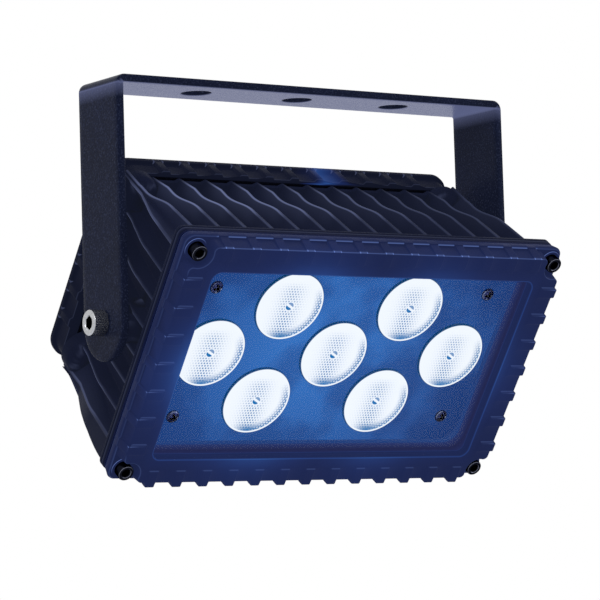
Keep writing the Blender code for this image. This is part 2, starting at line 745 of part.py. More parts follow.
def build_cover(finishes, lamp):
    plate_front_face = cover_back + 3.2 * mm
    panel_inset = 1.6 * mm
    radius = cover_x - cover_screw_x
    cover = piece("rear_cover", prism(rounded_rectangle(cover_x, cover_y, radius), cover_back, plate_front_face),
                  finishes["cast"], lamp)
    panels = wrapped_outline(cover_x - panel_inset, cover_y - panel_inset, panel_inset - 0.05 * mm, (11, 5),
                             radius - panel_inset / 2, cover_rib_tip, cover_rib_root)
    wall = prism(panels, plate_front_face - 0.5 * mm, cover_front)
    combine(cover, piece("ribbed wall", wall, parent=lamp), "UNION")
    inside = cover_back + cover_wall
    hollow = bitten_rectangle(99.0 * mm, 51.0 * mm, cover_screw_x, cover_screw_y, 9.2 * mm)
    outside = cover_back - 2 * mm
    cuts = [prism(hollow, inside, cover_front + 2 * mm)]
    for x, y in corners(cover_screw_x, cover_screw_y):
        cuts.append(moved(prism(polygon(14, cover_pocket_radius), outside, cover_pocket_floor), x, y))
    combine(cover, piece("cover cutter", gather(*cuts), parent=lamp), "DIFFERENCE")

    posts = [moved(prism(polygon(8, 3.2 * mm), inside - mm, control_back - gap), x, y)
             for x, y in control_screw_places()]
    combine(cover, piece("control board posts", gather(*posts), parent=lamp), "UNION")

    through = [prism(rounded_rectangle(20 * mm, 7 * mm, 2 * mm), outside, inside + mm)]
    moved(through[0], 0, display_y)
    for x, y in corners(cover_screw_x, cover_screw_y):
        through.append(moved(prism(polygon(12, 2.8 * mm), cover_pocket_floor - mm, cover_front + mm), x, y))
    for x in multiples(key_spacing, 4):
        through.append(moved(prism(polygon(12, key_radius + 0.4 * mm), outside, inside + mm), x, key_row))
    for x in multiples(gland_spacing, 3):
        through.append(moved(prism(polygon(12, gland_thread + 0.4 * mm), outside, inside + mm), x, gland_row))
    for x, y in control_screw_places():
        through.append(moved(prism(polygon(8, 1.5 * mm), inside + 0.6 * mm, control_back + mm), x, y))
    combine(cover, piece("cover hole cutter", gather(*through), parent=lamp), "DIFFERENCE")
    recess = moved(prism(rounded_rectangle(24 * mm, 11 * mm, 2.5 * mm), outside, cover_back + 1.7 * mm), 0, display_y)
    combine(cover, piece("window recess cutter", recess, parent=lamp), "DIFFERENCE")

    screw = socket_screw(4.25 * mm, 5.0 * mm, 2.5 * mm, 13.0 * mm, 4.0 * mm, 12)
    mesh = None
    for number, (x, y) in enumerate(corners(cover_screw_x, cover_screw_y), 1):
        at = (x, y, cover_pocket_floor - gap)
        if mesh:
            place(f"cover_screw_{number}", mesh, None, lamp, at, (math.pi, 0, 0))
        else:
            mesh = piece(f"cover_screw_{number}", screw, finishes["dark_steel"], lamp, at, (math.pi, 0, 0)).data


def control_screw_places():
    """The control board's four screws, near its corners."""
    return [(x, y) for y in (control_low + 5 * mm, control_high - 5 * mm)
            for x in (-control_x + 5 * mm, control_x - 5 * mm)]


def build_controls(finishes, lamp):
    pane = prism(rounded_rectangle(23.6 * mm, 10.6 * mm, 2.2 * mm), cover_back + 0.2 * mm, cover_back + 1.4 * mm)
    piece("display_window", pane, finishes["window"], lamp, (0, display_y, 0))

    middle = (control_low + control_high) / 2
    half_y = (control_high - control_low) / 2
    board = moved(prism(rounded_rectangle(control_x, half_y, 2 * mm), control_back, control_front), 0, middle)
    board = piece("control_board", board, finishes["board"], lamp)
    module = moved(prism(rounded_rectangle(19 * mm, 6.2 * mm, mm), cover_back + 2.2 * mm, control_back + mm / 2),
                   0, display_y)
    parts = [module]
    for x in multiples(key_spacing, 4):
        parts.append(moved(prism(rounded_rectangle(3 * mm, 3 * mm, 0.6 * mm, 1), switch_top, control_back + mm / 2),
                           x, key_row))
    combine(board, piece("board parts", gather(*parts), parent=lamp), "UNION")
    holes = [moved(prism(polygon(8, 1.6 * mm), control_back - mm, control_front + mm), x, y)
             for x, y in control_screw_places()]
    combine(board, piece("control board cutter", gather(*holes), parent=lamp), "DIFFERENCE")

    screw = pan_screw(2.6 * mm, 1.8 * mm, 1.2 * mm, 6 * mm, 8)
    mesh = None
    for number, (x, y) in enumerate(control_screw_places(), 1):
        at = (x, y, control_front + gap)
        if mesh:
            place(f"control_board_screw_{number}", mesh, None, lamp, at)
        else:
            mesh = piece(f"control_board_screw_{number}", screw, finishes["steel"], lamp, at).data

    inside = cover_back + cover_wall
    key = turned([
        (0, cover_back - 1.8 * mm),
        (key_radius - 0.8 * mm, cover_back - 1.6 * mm),
        (key_radius, cover_back - 0.8 * mm),
        (key_radius, inside + gap),
        (key_radius + 1.2 * mm, inside + gap),
        (key_radius + 1.2 * mm, inside + gap + mm),
        (1.6 * mm, inside + gap + mm),
        (1.6 * mm, switch_top - key_travel - gap),
        (0, switch_top - key_travel - gap),
    ], 12)
    mesh = None
    for name, x in zip(("key_menu", "key_enter", "key_up", "key_down"), reversed(multiples(key_spacing, 4))):
        if mesh:
            place(name, mesh, None, lamp, (x, key_row, 0))
        else:
            mesh = piece(name, key, finishes["plastic"], lamp, (x, key_row, 0)).data

    supply = prism(rounded_rectangle(75 * mm, 32 * mm, 3 * mm, 2), -32 * mm, cavity_floor - gap)
    piece("power_supply", supply, finishes["supply"], lamp)


def build_glands(finishes, lamp):
    sides = 12
    inner_nut = cover_back + cover_wall + gap
    seat = cover_back - gap

    def round_ring(radius, z):
        return ring(polygon(sides, radius), z)

    def hex_ring(across_flats, z):
        return ring(hexagon(sides, across_flats), z)

    gland = loft([
        hex_ring(20 * mm, inner_nut + 3 * mm),
        hex_ring(20 * mm, inner_nut),
        round_ring(gland_thread, inner_nut),
        round_ring(gland_thread, seat),
        hex_ring(21 * mm, seat),
        hex_ring(21 * mm, seat - 5 * mm),
        round_ring(9.6 * mm, seat - 5.4 * mm),
        round_ring(9.6 * mm, seat - 13 * mm),
        round_ring(8.0 * mm, seat - 17 * mm),
        round_ring(5.6 * mm, seat - 19 * mm),
        round_ring(gland_bore, seat - 19 * mm),
        round_ring(gland_bore, inner_nut + 3 * mm),
    ], closed=True)
    mesh = None
    for name, x in zip(("cable_gland_mains", "cable_gland_data_in", "cable_gland_data_out"),
                       reversed(multiples(gland_spacing, 3))):
        if mesh:
            place(name, mesh, None, lamp, (x, gland_row, 0))
        else:
            mesh = piece(name, gland, finishes["plastic"], lamp, (x, gland_row, 0)).data


if __name__ == "__main__":
    clear_scene()
    surfaces = make_finishes()
    pivot = empty("tilt axis", at=(0, 0, -pivot_drop), turn=(math.pi / 2 + look_down, 0, 0))
    lamp_centre = empty("lamp centre", pivot, (0, lamp_rise, 0))
    build_bracket(surfaces)
    build_clamp_screws(surfaces, pivot)
    build_housing(surfaces, lamp_centre)
    build_bezel(surfaces, lamp_centre)
    build_seals_and_glass(surfaces, lamp_centre)
    build_optics(surfaces, lamp_centre)
    build_cover(surfaces, lamp_centre)
    build_controls(surfaces, lamp_centre)
    build_glands(surfaces, lamp_centre)
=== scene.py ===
import math

import bmesh
import bpy
import numpy as np
from mathutils import Matrix


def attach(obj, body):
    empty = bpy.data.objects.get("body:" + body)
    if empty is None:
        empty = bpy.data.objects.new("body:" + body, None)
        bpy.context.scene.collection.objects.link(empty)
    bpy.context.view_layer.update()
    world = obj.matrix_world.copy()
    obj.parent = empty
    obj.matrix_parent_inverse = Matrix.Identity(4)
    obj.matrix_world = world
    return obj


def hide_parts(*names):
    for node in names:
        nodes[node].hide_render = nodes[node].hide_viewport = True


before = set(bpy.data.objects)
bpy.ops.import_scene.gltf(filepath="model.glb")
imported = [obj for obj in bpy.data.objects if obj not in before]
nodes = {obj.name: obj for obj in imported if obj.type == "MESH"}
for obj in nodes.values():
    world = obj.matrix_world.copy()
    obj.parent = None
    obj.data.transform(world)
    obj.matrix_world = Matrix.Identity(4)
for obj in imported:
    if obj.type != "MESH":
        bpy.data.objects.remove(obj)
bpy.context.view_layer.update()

# lengths are in millimetres until a mesh is made; the lamp's own frame has x across,
# y up its face and z out of its front, with its middle just above the tilt axis
mm = 0.001
stance = {"pivotDrop": 121.0, "lookDown": 36.15, "lampRise": 2.4}


# small helpers

def lampToRow(points):
    # the lamp leans forward about the tilt axis: turn about x, then drop to the axis
    lean = math.radians(stance["lookDown"])
    x, y, z = points[..., 0], points[..., 1] + stance["lampRise"], points[..., 2]
    back = -math.sin(lean) * y - math.cos(lean) * z
    up = math.cos(lean) * y - math.sin(lean) * z - stance["pivotDrop"]
    return np.stack([x, back, up], -1)


def easeStep(value, start, end):
    # 0 before start, 1 after end, with a smooth S between
    t = np.clip((value - start) / (end - start), 0, 1)
    return t * t * (3 - 2 * t)


def shell(grid, around=True, along=False, caps=(True, True)):
    # a grid of points (rows, columns, 3) as quads; rows may close round and columns may close too
    rows, columns = grid.shape[:2]
    i = np.arange(rows if along else rows - 1)
    j = np.arange(columns if around else columns - 1)
    i, j = np.meshgrid(i, j, indexing="ij")
    nextI, nextJ = (i + 1) % rows, (j + 1) % columns
    quads = np.stack([i * columns + j, i * columns + nextJ, nextI * columns + nextJ, nextI * columns + j], -1)
    faces = quads.reshape(-1, 4).tolist()
    if around and not along:
        if caps[0]:
            faces.append(list(range(columns))[::-1])
        if caps[1]:
            faces.append(list(range((rows - 1) * columns, rows * columns)))
    return grid.reshape(-1, 3), faces


def addMark(mesh, name, values):
    # a number for each point, for a material to read
    mesh.attributes.new(name, "FLOAT", "POINT").data.foreach_set("value", values.astype(np.float32))


def makePiece(name, shells, material=None, sharp=35, **marks):
    # joins shells into one mesh, merges seams, faces it outwards and shades it smooth between edges;
    # marks are numbers for each point that a material reads: glow (painted light), gleam (painted
    # highlights), shade (painted shade), facet
    points, faces, start = [], [], 0
    for part, partFaces in shells:
        points.append(part)
        faces += [[corner + start for corner in face] for face in partFaces]
        start += len(part)
    mesh = bpy.data.meshes.new(name)
    mesh.from_pydata((np.concatenate(points) * mm).tolist(), [], faces)
    for mark, values in marks.items():
        addMark(mesh, mark, np.ravel(values))
    shape = bmesh.new()
    shape.from_mesh(mesh)
    bmesh.ops.remove_doubles(shape, verts=shape.verts, dist=0.004 * mm)
    bmesh.ops.dissolve_degenerate(shape, edges=shape.edges, dist=0.002 * mm)
    bmesh.ops.recalc_face_normals(shape, faces=shape.faces)
    shape.to_mesh(mesh)
    shape.free()
    mesh.shade_smooth()
    mesh.set_sharp_from_angle(angle=math.radians(sharp))
    piece = bpy.data.objects.new(name, mesh)
    bpy.context.scene.collection.objects.link(piece)
    if material:
        mesh.materials.append(material)
    return piece


def cutPiece(piece, shells, sharp=35, operation="DIFFERENCE"):
    # a Boolean with a throwaway cutter, baked into the piece's mesh
    tool = makePiece("cutter", shells)
    modifier = piece.modifiers.new("cut", "BOOLEAN")
    modifier.operation = operation
    modifier.solver = "EXACT"
    modifier.object = tool
    bakeModifiers(piece, sharp)
    bpy.data.objects.remove(tool, do_unlink=True)


def bakeModifiers(piece, sharp=35):
    view = bpy.context.evaluated_depsgraph_get()
    mesh = bpy.data.meshes.new_from_object(piece.evaluated_get(view))
    old = piece.data
    piece.modifiers.clear()
    piece.data = mesh
    bpy.data.meshes.remove(old)
    mesh.shade_smooth()
    mesh.set_sharp_from_angle(angle=math.radians(sharp))


def settle(piece, body, slot, *replaced):
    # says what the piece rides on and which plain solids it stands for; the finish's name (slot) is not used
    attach(piece, body)
    if replaced:
        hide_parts(*replaced)


def turned(profile, sides, swell=None):
    # a profile of (radius, height) rows turned about z; swell(angle, row) scales a radius by direction
    profile = np.array(profile, float)
    angle = np.linspace(0, 2 * np.pi, sides, endpoint=False)
    radius = profile[:, :1] * np.ones(sides)
    if swell is not None:
        radius = radius + swell(angle[None, :], np.arange(len(profile))[:, None])
    height = profile[:, 1:] * np.ones(sides)
    return np.stack([radius * np.cos(angle), radius * np.sin(angle), height], -1)


def hexReach(angle, acrossFlats):
    # distance from a hexagon's middle to its side, by direction
    return acrossFlats / 2 / np.cos((angle + np.pi / 6) % (np.pi / 3) - np.pi / 6)


def moved(points, x=0.0, y=0.0, z=0.0):
    return points + np.array([x, y, z])


def corners(x, y):
    return [(x, y), (-x, y), (-x, -y), (x, -y)]


def multiples(pitch, count):
    return [pitch * (i - (count - 1) / 2) for i in range(count)]


def arc(x, y, radius, start, end, count):
    angle = np.radians(np.linspace(start, end, count))
    return np.stack([x + radius * np.cos(angle), y + radius * np.sin(angle)], -1)


def straight(a, b, count):
    t = np.linspace(0, 1, count)[:, None]
    return np.array(a) * (1 - t) + np.array(b) * t


def aroundRim(right, corner, top):
    # right side upwards, corner, top leftwards, mirrored corner; then the same again by half a turn
    half = np.concatenate([right, corner, top, corner[::-1] * [-1, 1]])
    return np.concatenate([half, -half])


def rounded(halfX, halfY, radius, steps=9):
    corner = arc(halfX - radius, halfY - radius, radius, 0, 90, steps)
    return np.concatenate([corner, corner[::-1] * [-1, 1], -corner, corner[::-1] * [1, -1]])


def lifted(outline, z):
    # an outline at one height, or at a height for each of its points
    height = np.broadcast_to(np.asarray(z, float).reshape(-1, 1), (len(outline), 1))
    return np.concatenate([outline, height], 1)


def prism(outline, low, high):
    return shell(np.stack([lifted(outline, low), lifted(outline, high)]))


def tube(x, y, radius, low, high, sides=48):
    return prism(arc(x, y, radius, 0, 360 - 360 / sides, sides), low, high)


def inLamp(part, x=0.0, y=0.0, z=0.0):
    # a part moved to its place in the lamp's own frame, then leant with the lamp
    points, faces = part
    return lampToRow(moved(points, x, y, z)), faces


# materials

def linear(code):
    # a hex colour as written, turned to the linear values that the shader takes
    parts = [int(code[i:i + 2], 16) / 255 for i in (1, 3, 5)]
    return tuple(c / 12.92 if c <= 0.04045 else ((c + 0.055) / 1.055) ** 2.4 for c in parts) + (1.0,)


def plug(tree, node, inputs):
    # sets each input socket, or links it where its value is another node's output
    for socket, value in inputs:
        if isinstance(value, bpy.types.NodeSocket):
            tree.links.new(value, node.inputs[socket])
        else:
            node.inputs[socket].default_value = value


def addNode(tree, kind, inputs=(), **settings):
    # one node with its settings and links; inputs are (socket, value or output socket)
    node = tree.nodes.new("ShaderNode" + kind)
    for name, value in settings.items():
        setattr(node, name, value)
    plug(tree, node, inputs)
    return node


def noise(tree, place, size, *inputs):
    # a noise whose cells are about size mm across
    return addNode(tree, "TexNoise", [("Vector", place), ("Scale", 1 / (size * mm)), *inputs]).outputs["Fac"]


def mapped(tree, value, *ends):
    # a number taken from one range to another: from least, from most, to least, to most
    sockets = zip(("From Min", "From Max", "To Min", "To Max"), ends)
    return addNode(tree, "MapRange", [("Value", value), *sockets]).outputs[0]


def combined(tree, operation, first, second):
    return addNode(tree, "Math", [(0, first), (1, second)], operation=operation).outputs[0]


def vectors(tree, operation, first, second, socket=1):
    return addNode(tree, "VectorMath", [(0, first), (socket, second)], operation=operation).outputs


def toned(tree, factor, first, second):
    # a colour between two, each a hex code or an output
    ends = [linear(tone) if isinstance(tone, str) else tone for tone in (first, second)]
    inputs = [("Factor", factor), (6, ends[0]), (7, ends[1])]
    return addNode(tree, "Mix", inputs, data_type="RGBA").outputs[2]


def bumped(tree, height, depth, strength):
    inputs = [("Height", height), ("Distance", depth * mm), ("Strength", strength)]
    return addNode(tree, "Bump", inputs).outputs[0]


def markOf(tree, name):
    return addNode(tree, "Attribute", attribute_name=name).outputs["Fac"]


def eitherShader(tree, factor, first, second):
    return addNode(tree, "MixShader", [(0, factor), (1, first), (2, second)]).outputs[0]


def newMaterial(name):
    material = bpy.data.materials.new(name)
    material.use_nodes = True
    tree = material.node_tree
    return material, tree, tree.nodes["Principled BSDF"]


def ownPlace(tree):
    return addNode(tree, "TexCoord").outputs["Object"]


def coated(name, look):
    # paint over metal: two tones by a slow cloud, gloss that wanders, and a fine sprayed grain as bump and
    # specks; painted light is added as emission: the lenses' spill (glow), painted highlights on edges
    # (gleam) and a faint even painted glow
    material, tree, shader = newMaterial(name)
    place = ownPlace(tree)
    cloud = noise(tree, place, look["cloud"], ("Detail", 3.0))
    grain = noise(tree, place, look["grain"], ("Detail", 2.0), ("Roughness", 0.6))
    tone = mapped(tree, combined(tree, "MULTIPLY", cloud, grain), 0.12, 0.42)
    plain = toned(tree, tone, look["dark"], look["light"])
    specks = mapped(tree, grain, 0.54, 0.66, 0.0, look.get("specks", 0.0))
    rough = mapped(tree, grain, 0.3, 0.7, look["rough"] - 0.06, look["rough"] + 0.06)
    bump = bumped(tree, grain, look["depth"], look["bump"])
    # painted light: the lenses' blue spill, from a glow mark or from the distance to the beam's middle
    if "beam" in look:
        # painted lens light on the plate: strongest by its middle, in slow patches
        away = vectors(tree, "DISTANCE", place, look["beam"])["Value"]
        near = mapped(tree, away, 0.02, 0.115, 0.72, 0.4)
        glow = combined(tree, "MULTIPLY", near, mapped(tree, cloud, 0.42, 0.56, 0.82, 1.05))
    else:
        glow = markOf(tree, "glow")
    spill = vectors(tree, "SCALE", toned(tree, glow, "#2438A4", "#4590E4"), glow, "Scale")[0]
    # painted highlights along edges, in the coat's highlight colour
    gleam = linear(look.get("gleam", "#A79FE6"))[:3]
    caught = vectors(tree, "SCALE", gleam, markOf(tree, "gleam"), "Scale")[0]
    # a faint even painted glow over the whole coat
    paintedHaze = linear(look.get("paintedHaze", "#000000"))[:3]
    lit = vectors(tree, "ADD", vectors(tree, "ADD", spill, caught)[0], paintedHaze)[0]
    plug(tree, shader, [
        ("Base Color", toned(tree, specks, plain, "#8E97B8")), ("Roughness", rough), ("Normal", bump),
        ("Emission Color", lit), ("Emission Strength", 1.0), ("IOR", 1.5),
        ("Specular IOR Level", look.get("shine", 0.3)),
        ("Specular Tint", linear(look.get("tint", "#FFFFFF")))])
    return material


def metal(name, look):
    # bare or blackened steel: full metal with faint turning marks in its gloss, with painted shade in its
    # recesses (shade) and painted highlights along its turned edges (gleam), which also glow a little
    material, tree, shader = newMaterial(name)
    marks = noise(tree, ownPlace(tree), look["mark"], ("Detail", 4.0))
    tone = toned(tree, marks, look["dark"], look["light"])
    rough = mapped(tree, marks, 0.0, 1.0, look["rough"] - 0.07, look["rough"] + 0.07)
    bump = bumped(tree, marks, 0.02, 0.4)
    # painted shade darkens the recesses; painted highlights lighten the turned edges and glow a little
    gleam = markOf(tree, "gleam")
    shadedAndHighlighted = toned(tree, gleam, toned(tree, markOf(tree, "shade"), tone, "#0A0B10"), "#D4DAF4")
    plug(tree, shader, [
        ("Base Color", shadedAndHighlighted), ("Roughness", rough), ("Normal", bump), ("Metallic", 1.0),
        ("Specular Tint", linear(look.get("rim", "#FFFFFF"))), ("Emission Color", linear("#C4CEF6")),
        ("Emission Strength", combined(tree, "MULTIPLY", gleam, look.get("spark", 0.0)))])
    return material


def clear(name, look):
    # glass or acrylic: light passes, with a faint smear in the gloss; no dark shadow on what is behind
    material, tree, shader = newMaterial(name)
    smear = noise(tree, ownPlace(tree), look["smear"], ("Detail", 3.0))
    plug(tree, shader, [
        ("Roughness", mapped(tree, smear, 0.35, 0.65, look["rough"] * 0.5, look["rough"] * 1.5)),
        ("Base Color", linear(look["tint"])), ("Transmission Weight", 1.0),
        ("Specular Tint", linear(look["sheen"])), ("IOR", look["ior"])])
    through = addNode(tree, "BsdfTransparent", [("Color", linear(look["tint"]))]).outputs[0]
    rays = addNode(tree, "LightPath").outputs
    soft = combined(tree, "MAXIMUM", rays["Is Shadow Ray"], rays["Is Diffuse Ray"])
    both = eitherShader(tree, soft, shader.outputs[0], through)
    plug(tree, tree.nodes["Material Output"], [("Surface", both)])
    return material


def litLens(name, look):
    # moulded acrylic lit from behind: white where the beam fills it, blue pits between its facets
    material, tree, shader = newMaterial(name)
    plug(tree, shader, [
        ("Emission Color", toned(tree, markOf(tree, "facet"), look["pit"], look["lit"])),
        ("Emission Strength", combined(tree, "MULTIPLY", markOf(tree, "glow"), look["strength"])),
        ("Base Color", linear(look["body"])), ("Roughness", 0.2), ("Specular IOR Level", 0.05),
        ("IOR", 1.49)])
    return material


# painted light in the coats: a faint even glow colour, the painted highlights' colour, and a blue tint in the
# gloss that stands for the lenses' blue light
casting = {
    "cloud": 45, "grain": 0.8, "rough": 0.42, "depth": 0.05, "bump": 0.35, "shine": 0.012, "tint": "#98A4DC",
    "gleam": "#8E9ACC",
}
finishes = {
    # steel bar under a textured powder coat: slate black with pale specks, its grain about a millimetre
    "powder": coated("powder coat on steel", {
        "dark": "#080C1C", "light": "#121830", "cloud": 30, "grain": 0.9, "rough": 0.3, "depth": 0.14,
        "bump": 0.8, "specks": 0.1, "shine": 0.03, "tint": "#A8B4E6", "gleam": "#9AA4DC", "paintedHaze": "#0E111C"}),
    # die-cast aluminium under a thin satin coat: the casting's fine skin shows through
    "cast": coated("satin coat on die casting", {
        **casting, "dark": "#090B16", "light": "#10142A", "paintedHaze": "#12151F"}),
    # the same coat, painted darker on the rear cover for the shade it stands in (painted shade)
    "shadedCoverCoat": coated("satin coat on the rear cover", {
        **casting, "dark": "#070810", "light": "#0C0E1B", "paintedHaze": "#11141F"}),
    # the same coat on the bezel, painted a little lighter and bluer with a stronger glow: painted light from
    # the lenses
    "litBezelCoat": coated("satin coat on the bezel", {
        **casting, "dark": "#0B0D1C", "light": "#12162E", "depth": 0.04, "bump": 0.3, "tint": "#8C9CE0",
        "gleam": "#86A4F4", "paintedHaze": "#181D30"}),
    # moulded silicone: dull black
    "rubber": coated("moulded silicone", {
        "dark": "#0A0B14", "light": "#12141F", "cloud": 20, "grain": 1.2, "rough": 0.72, "depth": 0.04,
        "bump": 0.3, "shine": 0.04, "tint": "#98A4DC"}),
    # black nylon mouldings: slightly waxy
    "nylon": coated("moulded nylon", {
        "dark": "#131315", "light": "#212124", "cloud": 15, "grain": 0.9, "rough": 0.45, "depth": 0.03,
        "bump": 0.3}),
    # sheet steel plate round the lenses: smooth blue-black coat, with painted lens light by its middle (beam)
    "plate": coated("smooth coat on sheet steel", {
        "dark": "#0A0E28", "light": "#0E1434", "cloud": 38, "grain": 9.0, "rough": 0.3, "depth": 0.005,
        "bump": 0.05, "shine": 0.01,
        "beam": tuple(float(v) for v in lampToRow(np.array([-10.0, 5.0, 28.5])) * mm)}),
    # circuit board: glossy green lacquer
    "board": coated("solder resist on glass epoxy", {
        "dark": "#0E4526", "light": "#1A6639", "cloud": 12, "grain": 1.0, "rough": 0.35, "depth": 0.03,
        "bump": 0.3}),
    # poured resin round the supply: dull grey
    "supply": coated("potting compound", {
        "dark": "#3A3D40", "light": "#54575B", "cloud": 25, "grain": 2.0, "rough": 0.55, "depth": 0.05,
        "bump": 0.3}),
    # plated screws: bright, dulled or blackened metal, with painted highlights on their edges and painted
    # shade in their recesses
    "steel": metal("zinc-plated steel", {"dark": "#8E9093", "light": "#D0D1D2", "mark": 0.8, "rough": 0.24}),
    "dullSteel": metal("dull plated steel", {
        "dark": "#20244A", "light": "#3A3F70", "mark": 0.6, "rough": 0.26, "rim": "#50557A", "spark": 0.06}),
    "blackSteel": metal("blackened steel", {
        "dark": "#0E0F14", "light": "#1C1E28", "mark": 0.9, "rough": 0.24, "rim": "#2A2E40", "spark": 0.15}),
    # the pane has an anti-reflection coat: only a faint blue of the room comes back from it
    "glass": clear("coated toughened glass", {
        "tint": "#F4FAFC", "ior": 1.2, "rough": 0.012, "smear": 60, "sheen": "#141C38"}),
    # dark red-brown window: the display shows through it
    "window": clear("smoked acrylic", {
        "tint": "#3A1418", "ior": 1.49, "rough": 0.05, "smear": 20, "sheen": "#FFFFFF"}),
    # lens filled with light, blue in the pits of its facets
    "lens": litLens("lit acrylic", {"lit": "#FFFFFF", "pit": "#0A70A8", "body": "#10246A", "strength": 0.98}),
}
print("finishes made")


# bracket

bracket = {
    "outside": 118.4, "width": 38.0, "thickness": 4.0, "bend": 5.0,
    "hangHole": 7.5, "hangSpacing": 61.0, "pivotHole": 4.4, "edge": 0.8,
}


def foldBar(s, w):
    # the flat bar's strip (s along it from its middle, w across it) folded down at both bends
    mid = bracket["bend"] - bracket["thickness"] / 2
    flat = bracket["outside"] - bracket["bend"]
    turn = mid * np.pi / 2
    reach = np.abs(s)
    angle = np.clip((reach - flat) / mid, 0, np.pi / 2)
    down = np.maximum(reach - flat - turn, 0)
    x = np.minimum(reach, flat) + mid * np.sin(angle)
    z = -bracket["thickness"] / 2 - mid * (1 - np.cos(angle)) - down
    return np.stack([np.sign(s) * x, w, z], -1)


def holePatch(centre, hole, outer, count=64, rings=7):
    # from a round hole out to an outer edge given by direction
    angle = np.linspace(0, 2 * np.pi, count, endpoint=False)
    t = np.linspace(0, 1, rings)[:, None] ** 1.3
    reach = hole + (outer(angle) - hole) * t
    return foldBar(centre + reach * np.cos(angle), reach * np.sin(angle))


def squareReach(angle):
    half = bracket["width"] / 2
    return half / np.maximum(np.abs(np.cos(angle)), np.abs(np.sin(angle)))


def tongueReach(angle):
    # square towards the bend, half round towards the arm's end
    return np.where(np.cos(angle) > 0, bracket["width"] / 2, squareReach(angle))


def buildBracket():
    # patches of the strip, folded by foldBar, then thickened and softened at their edges
    half, step = bracket["width"] / 2, bracket["hangSpacing"]
    count = 64
    across = half * np.tan(np.arange(-count // 8, count // 8 + 1) * 2 * np.pi / count)
    flat = bracket["outside"] - bracket["bend"]
    bend = (bracket["bend"] - bracket["thickness"] / 2) * np.pi / 2
    pivot = flat + bend + stance["pivotDrop"] - bracket["bend"]
    sheets = [shell(holePatch(centre, bracket["hangHole"], squareReach), caps=(False, False))
              for centre in multiples(step, 3)]
    for side in (1, -1):
        tongue = holePatch(pivot, bracket["pivotHole"], tongueReach)
        sheets.append(shell(tongue * [side, 1, 1], caps=(False, False)))
        runs = [np.linspace(half, step - half, 6),
                np.concatenate([np.linspace(step + half, flat, 8)[:-1], np.linspace(flat, flat + bend, 13),
                                np.linspace(flat + bend, pivot - half, 16)[1:]])]
        for run in runs:
            s, w = np.meshgrid(run * side, across, indexing="ij")
            sheets.append(shell(foldBar(s, w), around=False))
    piece = makePiece("bracket_bar", sheets, finishes["powder"])
    thick = piece.modifiers.new("thickness", "SOLIDIFY")
    thick.thickness = bracket["thickness"] * mm
    thick.offset = 0
    thick.use_even_offset = True
    soft = piece.modifiers.new("edges", "BEVEL")
    soft.width = bracket["edge"] * mm
    soft.segments = 3
    soft.limit_method = "ANGLE"
    soft.angle_limit = math.radians(50)
    bakeModifiers(piece, 30)
    # painted reflection: the crossbar's underside is lightened as if it caught the pale floor
    place = np.empty(3 * len(piece.data.vertices), np.float32)
    piece.data.vertices.foreach_get("co", place)
    z = place[2::3] / mm
    below = easeStep(-z, bracket["thickness"] - 0.4, bracket["thickness"])
    addMark(piece.data, "gleam", 0.27 * below * (1 - easeStep(-z, 4.2, 6.0)))
    settle(piece, "bracket", "powder_coat", "bracket")


buildBracket()
print("bracket built")


# screws and washers

def socketScrew(head, height, shank, length, key, ridges=0, sides=96, bright=0.6):
    # a cap screw along z with its bearing face at 0: turned body, ridged head side, hexagon socket
    edge = head * 0.09
    rounding = ((0, 2), (0.3, 0.8), (0.7, 0.3), (1, 0.15), (1.3, 0.06), (1.8, 0))
    profile = [(shank - 0.4, -length), (shank, -length + 0.5), (shank, 0), (head - 0.3, 0), (head, 0.3)]
    profile += [(head - edge * inward, height - edge * down) for inward, down in rounding]
    profile += [(key / 2 + more, height - down) for more, down in ((0.7, 0), (0.6, 0.1), (0.5, 0.25))]
    ridged = {4: 0.5, 5: 1.0}

    def ridge(angle, row):
        depth = 0.28 if ridges else 0.0
        weight = np.select([row == k for k in ridged], list(ridged.values()), 0.0)
        return -depth * weight * np.abs(np.sin(angle * ridges / 2))

    body = turned(profile, sides, ridge)
    angle = np.linspace(0, 2 * np.pi, sides, endpoint=False)
    rows = []
    for grow, z in ((0.12, height - 0.45), (0, height - 0.65), (0, height * 0.42), (-0.6, height * 0.40)):
        reach = hexReach(angle, key + grow)
        rows.append(np.stack([reach * np.cos(angle), reach * np.sin(angle), np.full(sides, z)], -1))
    # painted shade in the socket; painted highlights in a ring on the head's rounded edge, brightest to one
    # side, and a fainter ring at the socket's mouth
    shade = np.zeros((len(profile) + len(rows), sides))
    shade[-3:] = 1.0
    gleam = np.zeros_like(shade)
    gleam[8] = bright * (0.5 + 0.5 * np.cos(angle - 2.2)) ** 2
    gleam[12] = bright * 0.6
    return shell(np.concatenate([body, np.stack(rows)])), {"shade": shade, "gleam": np.clip(gleam, 0, 1)}


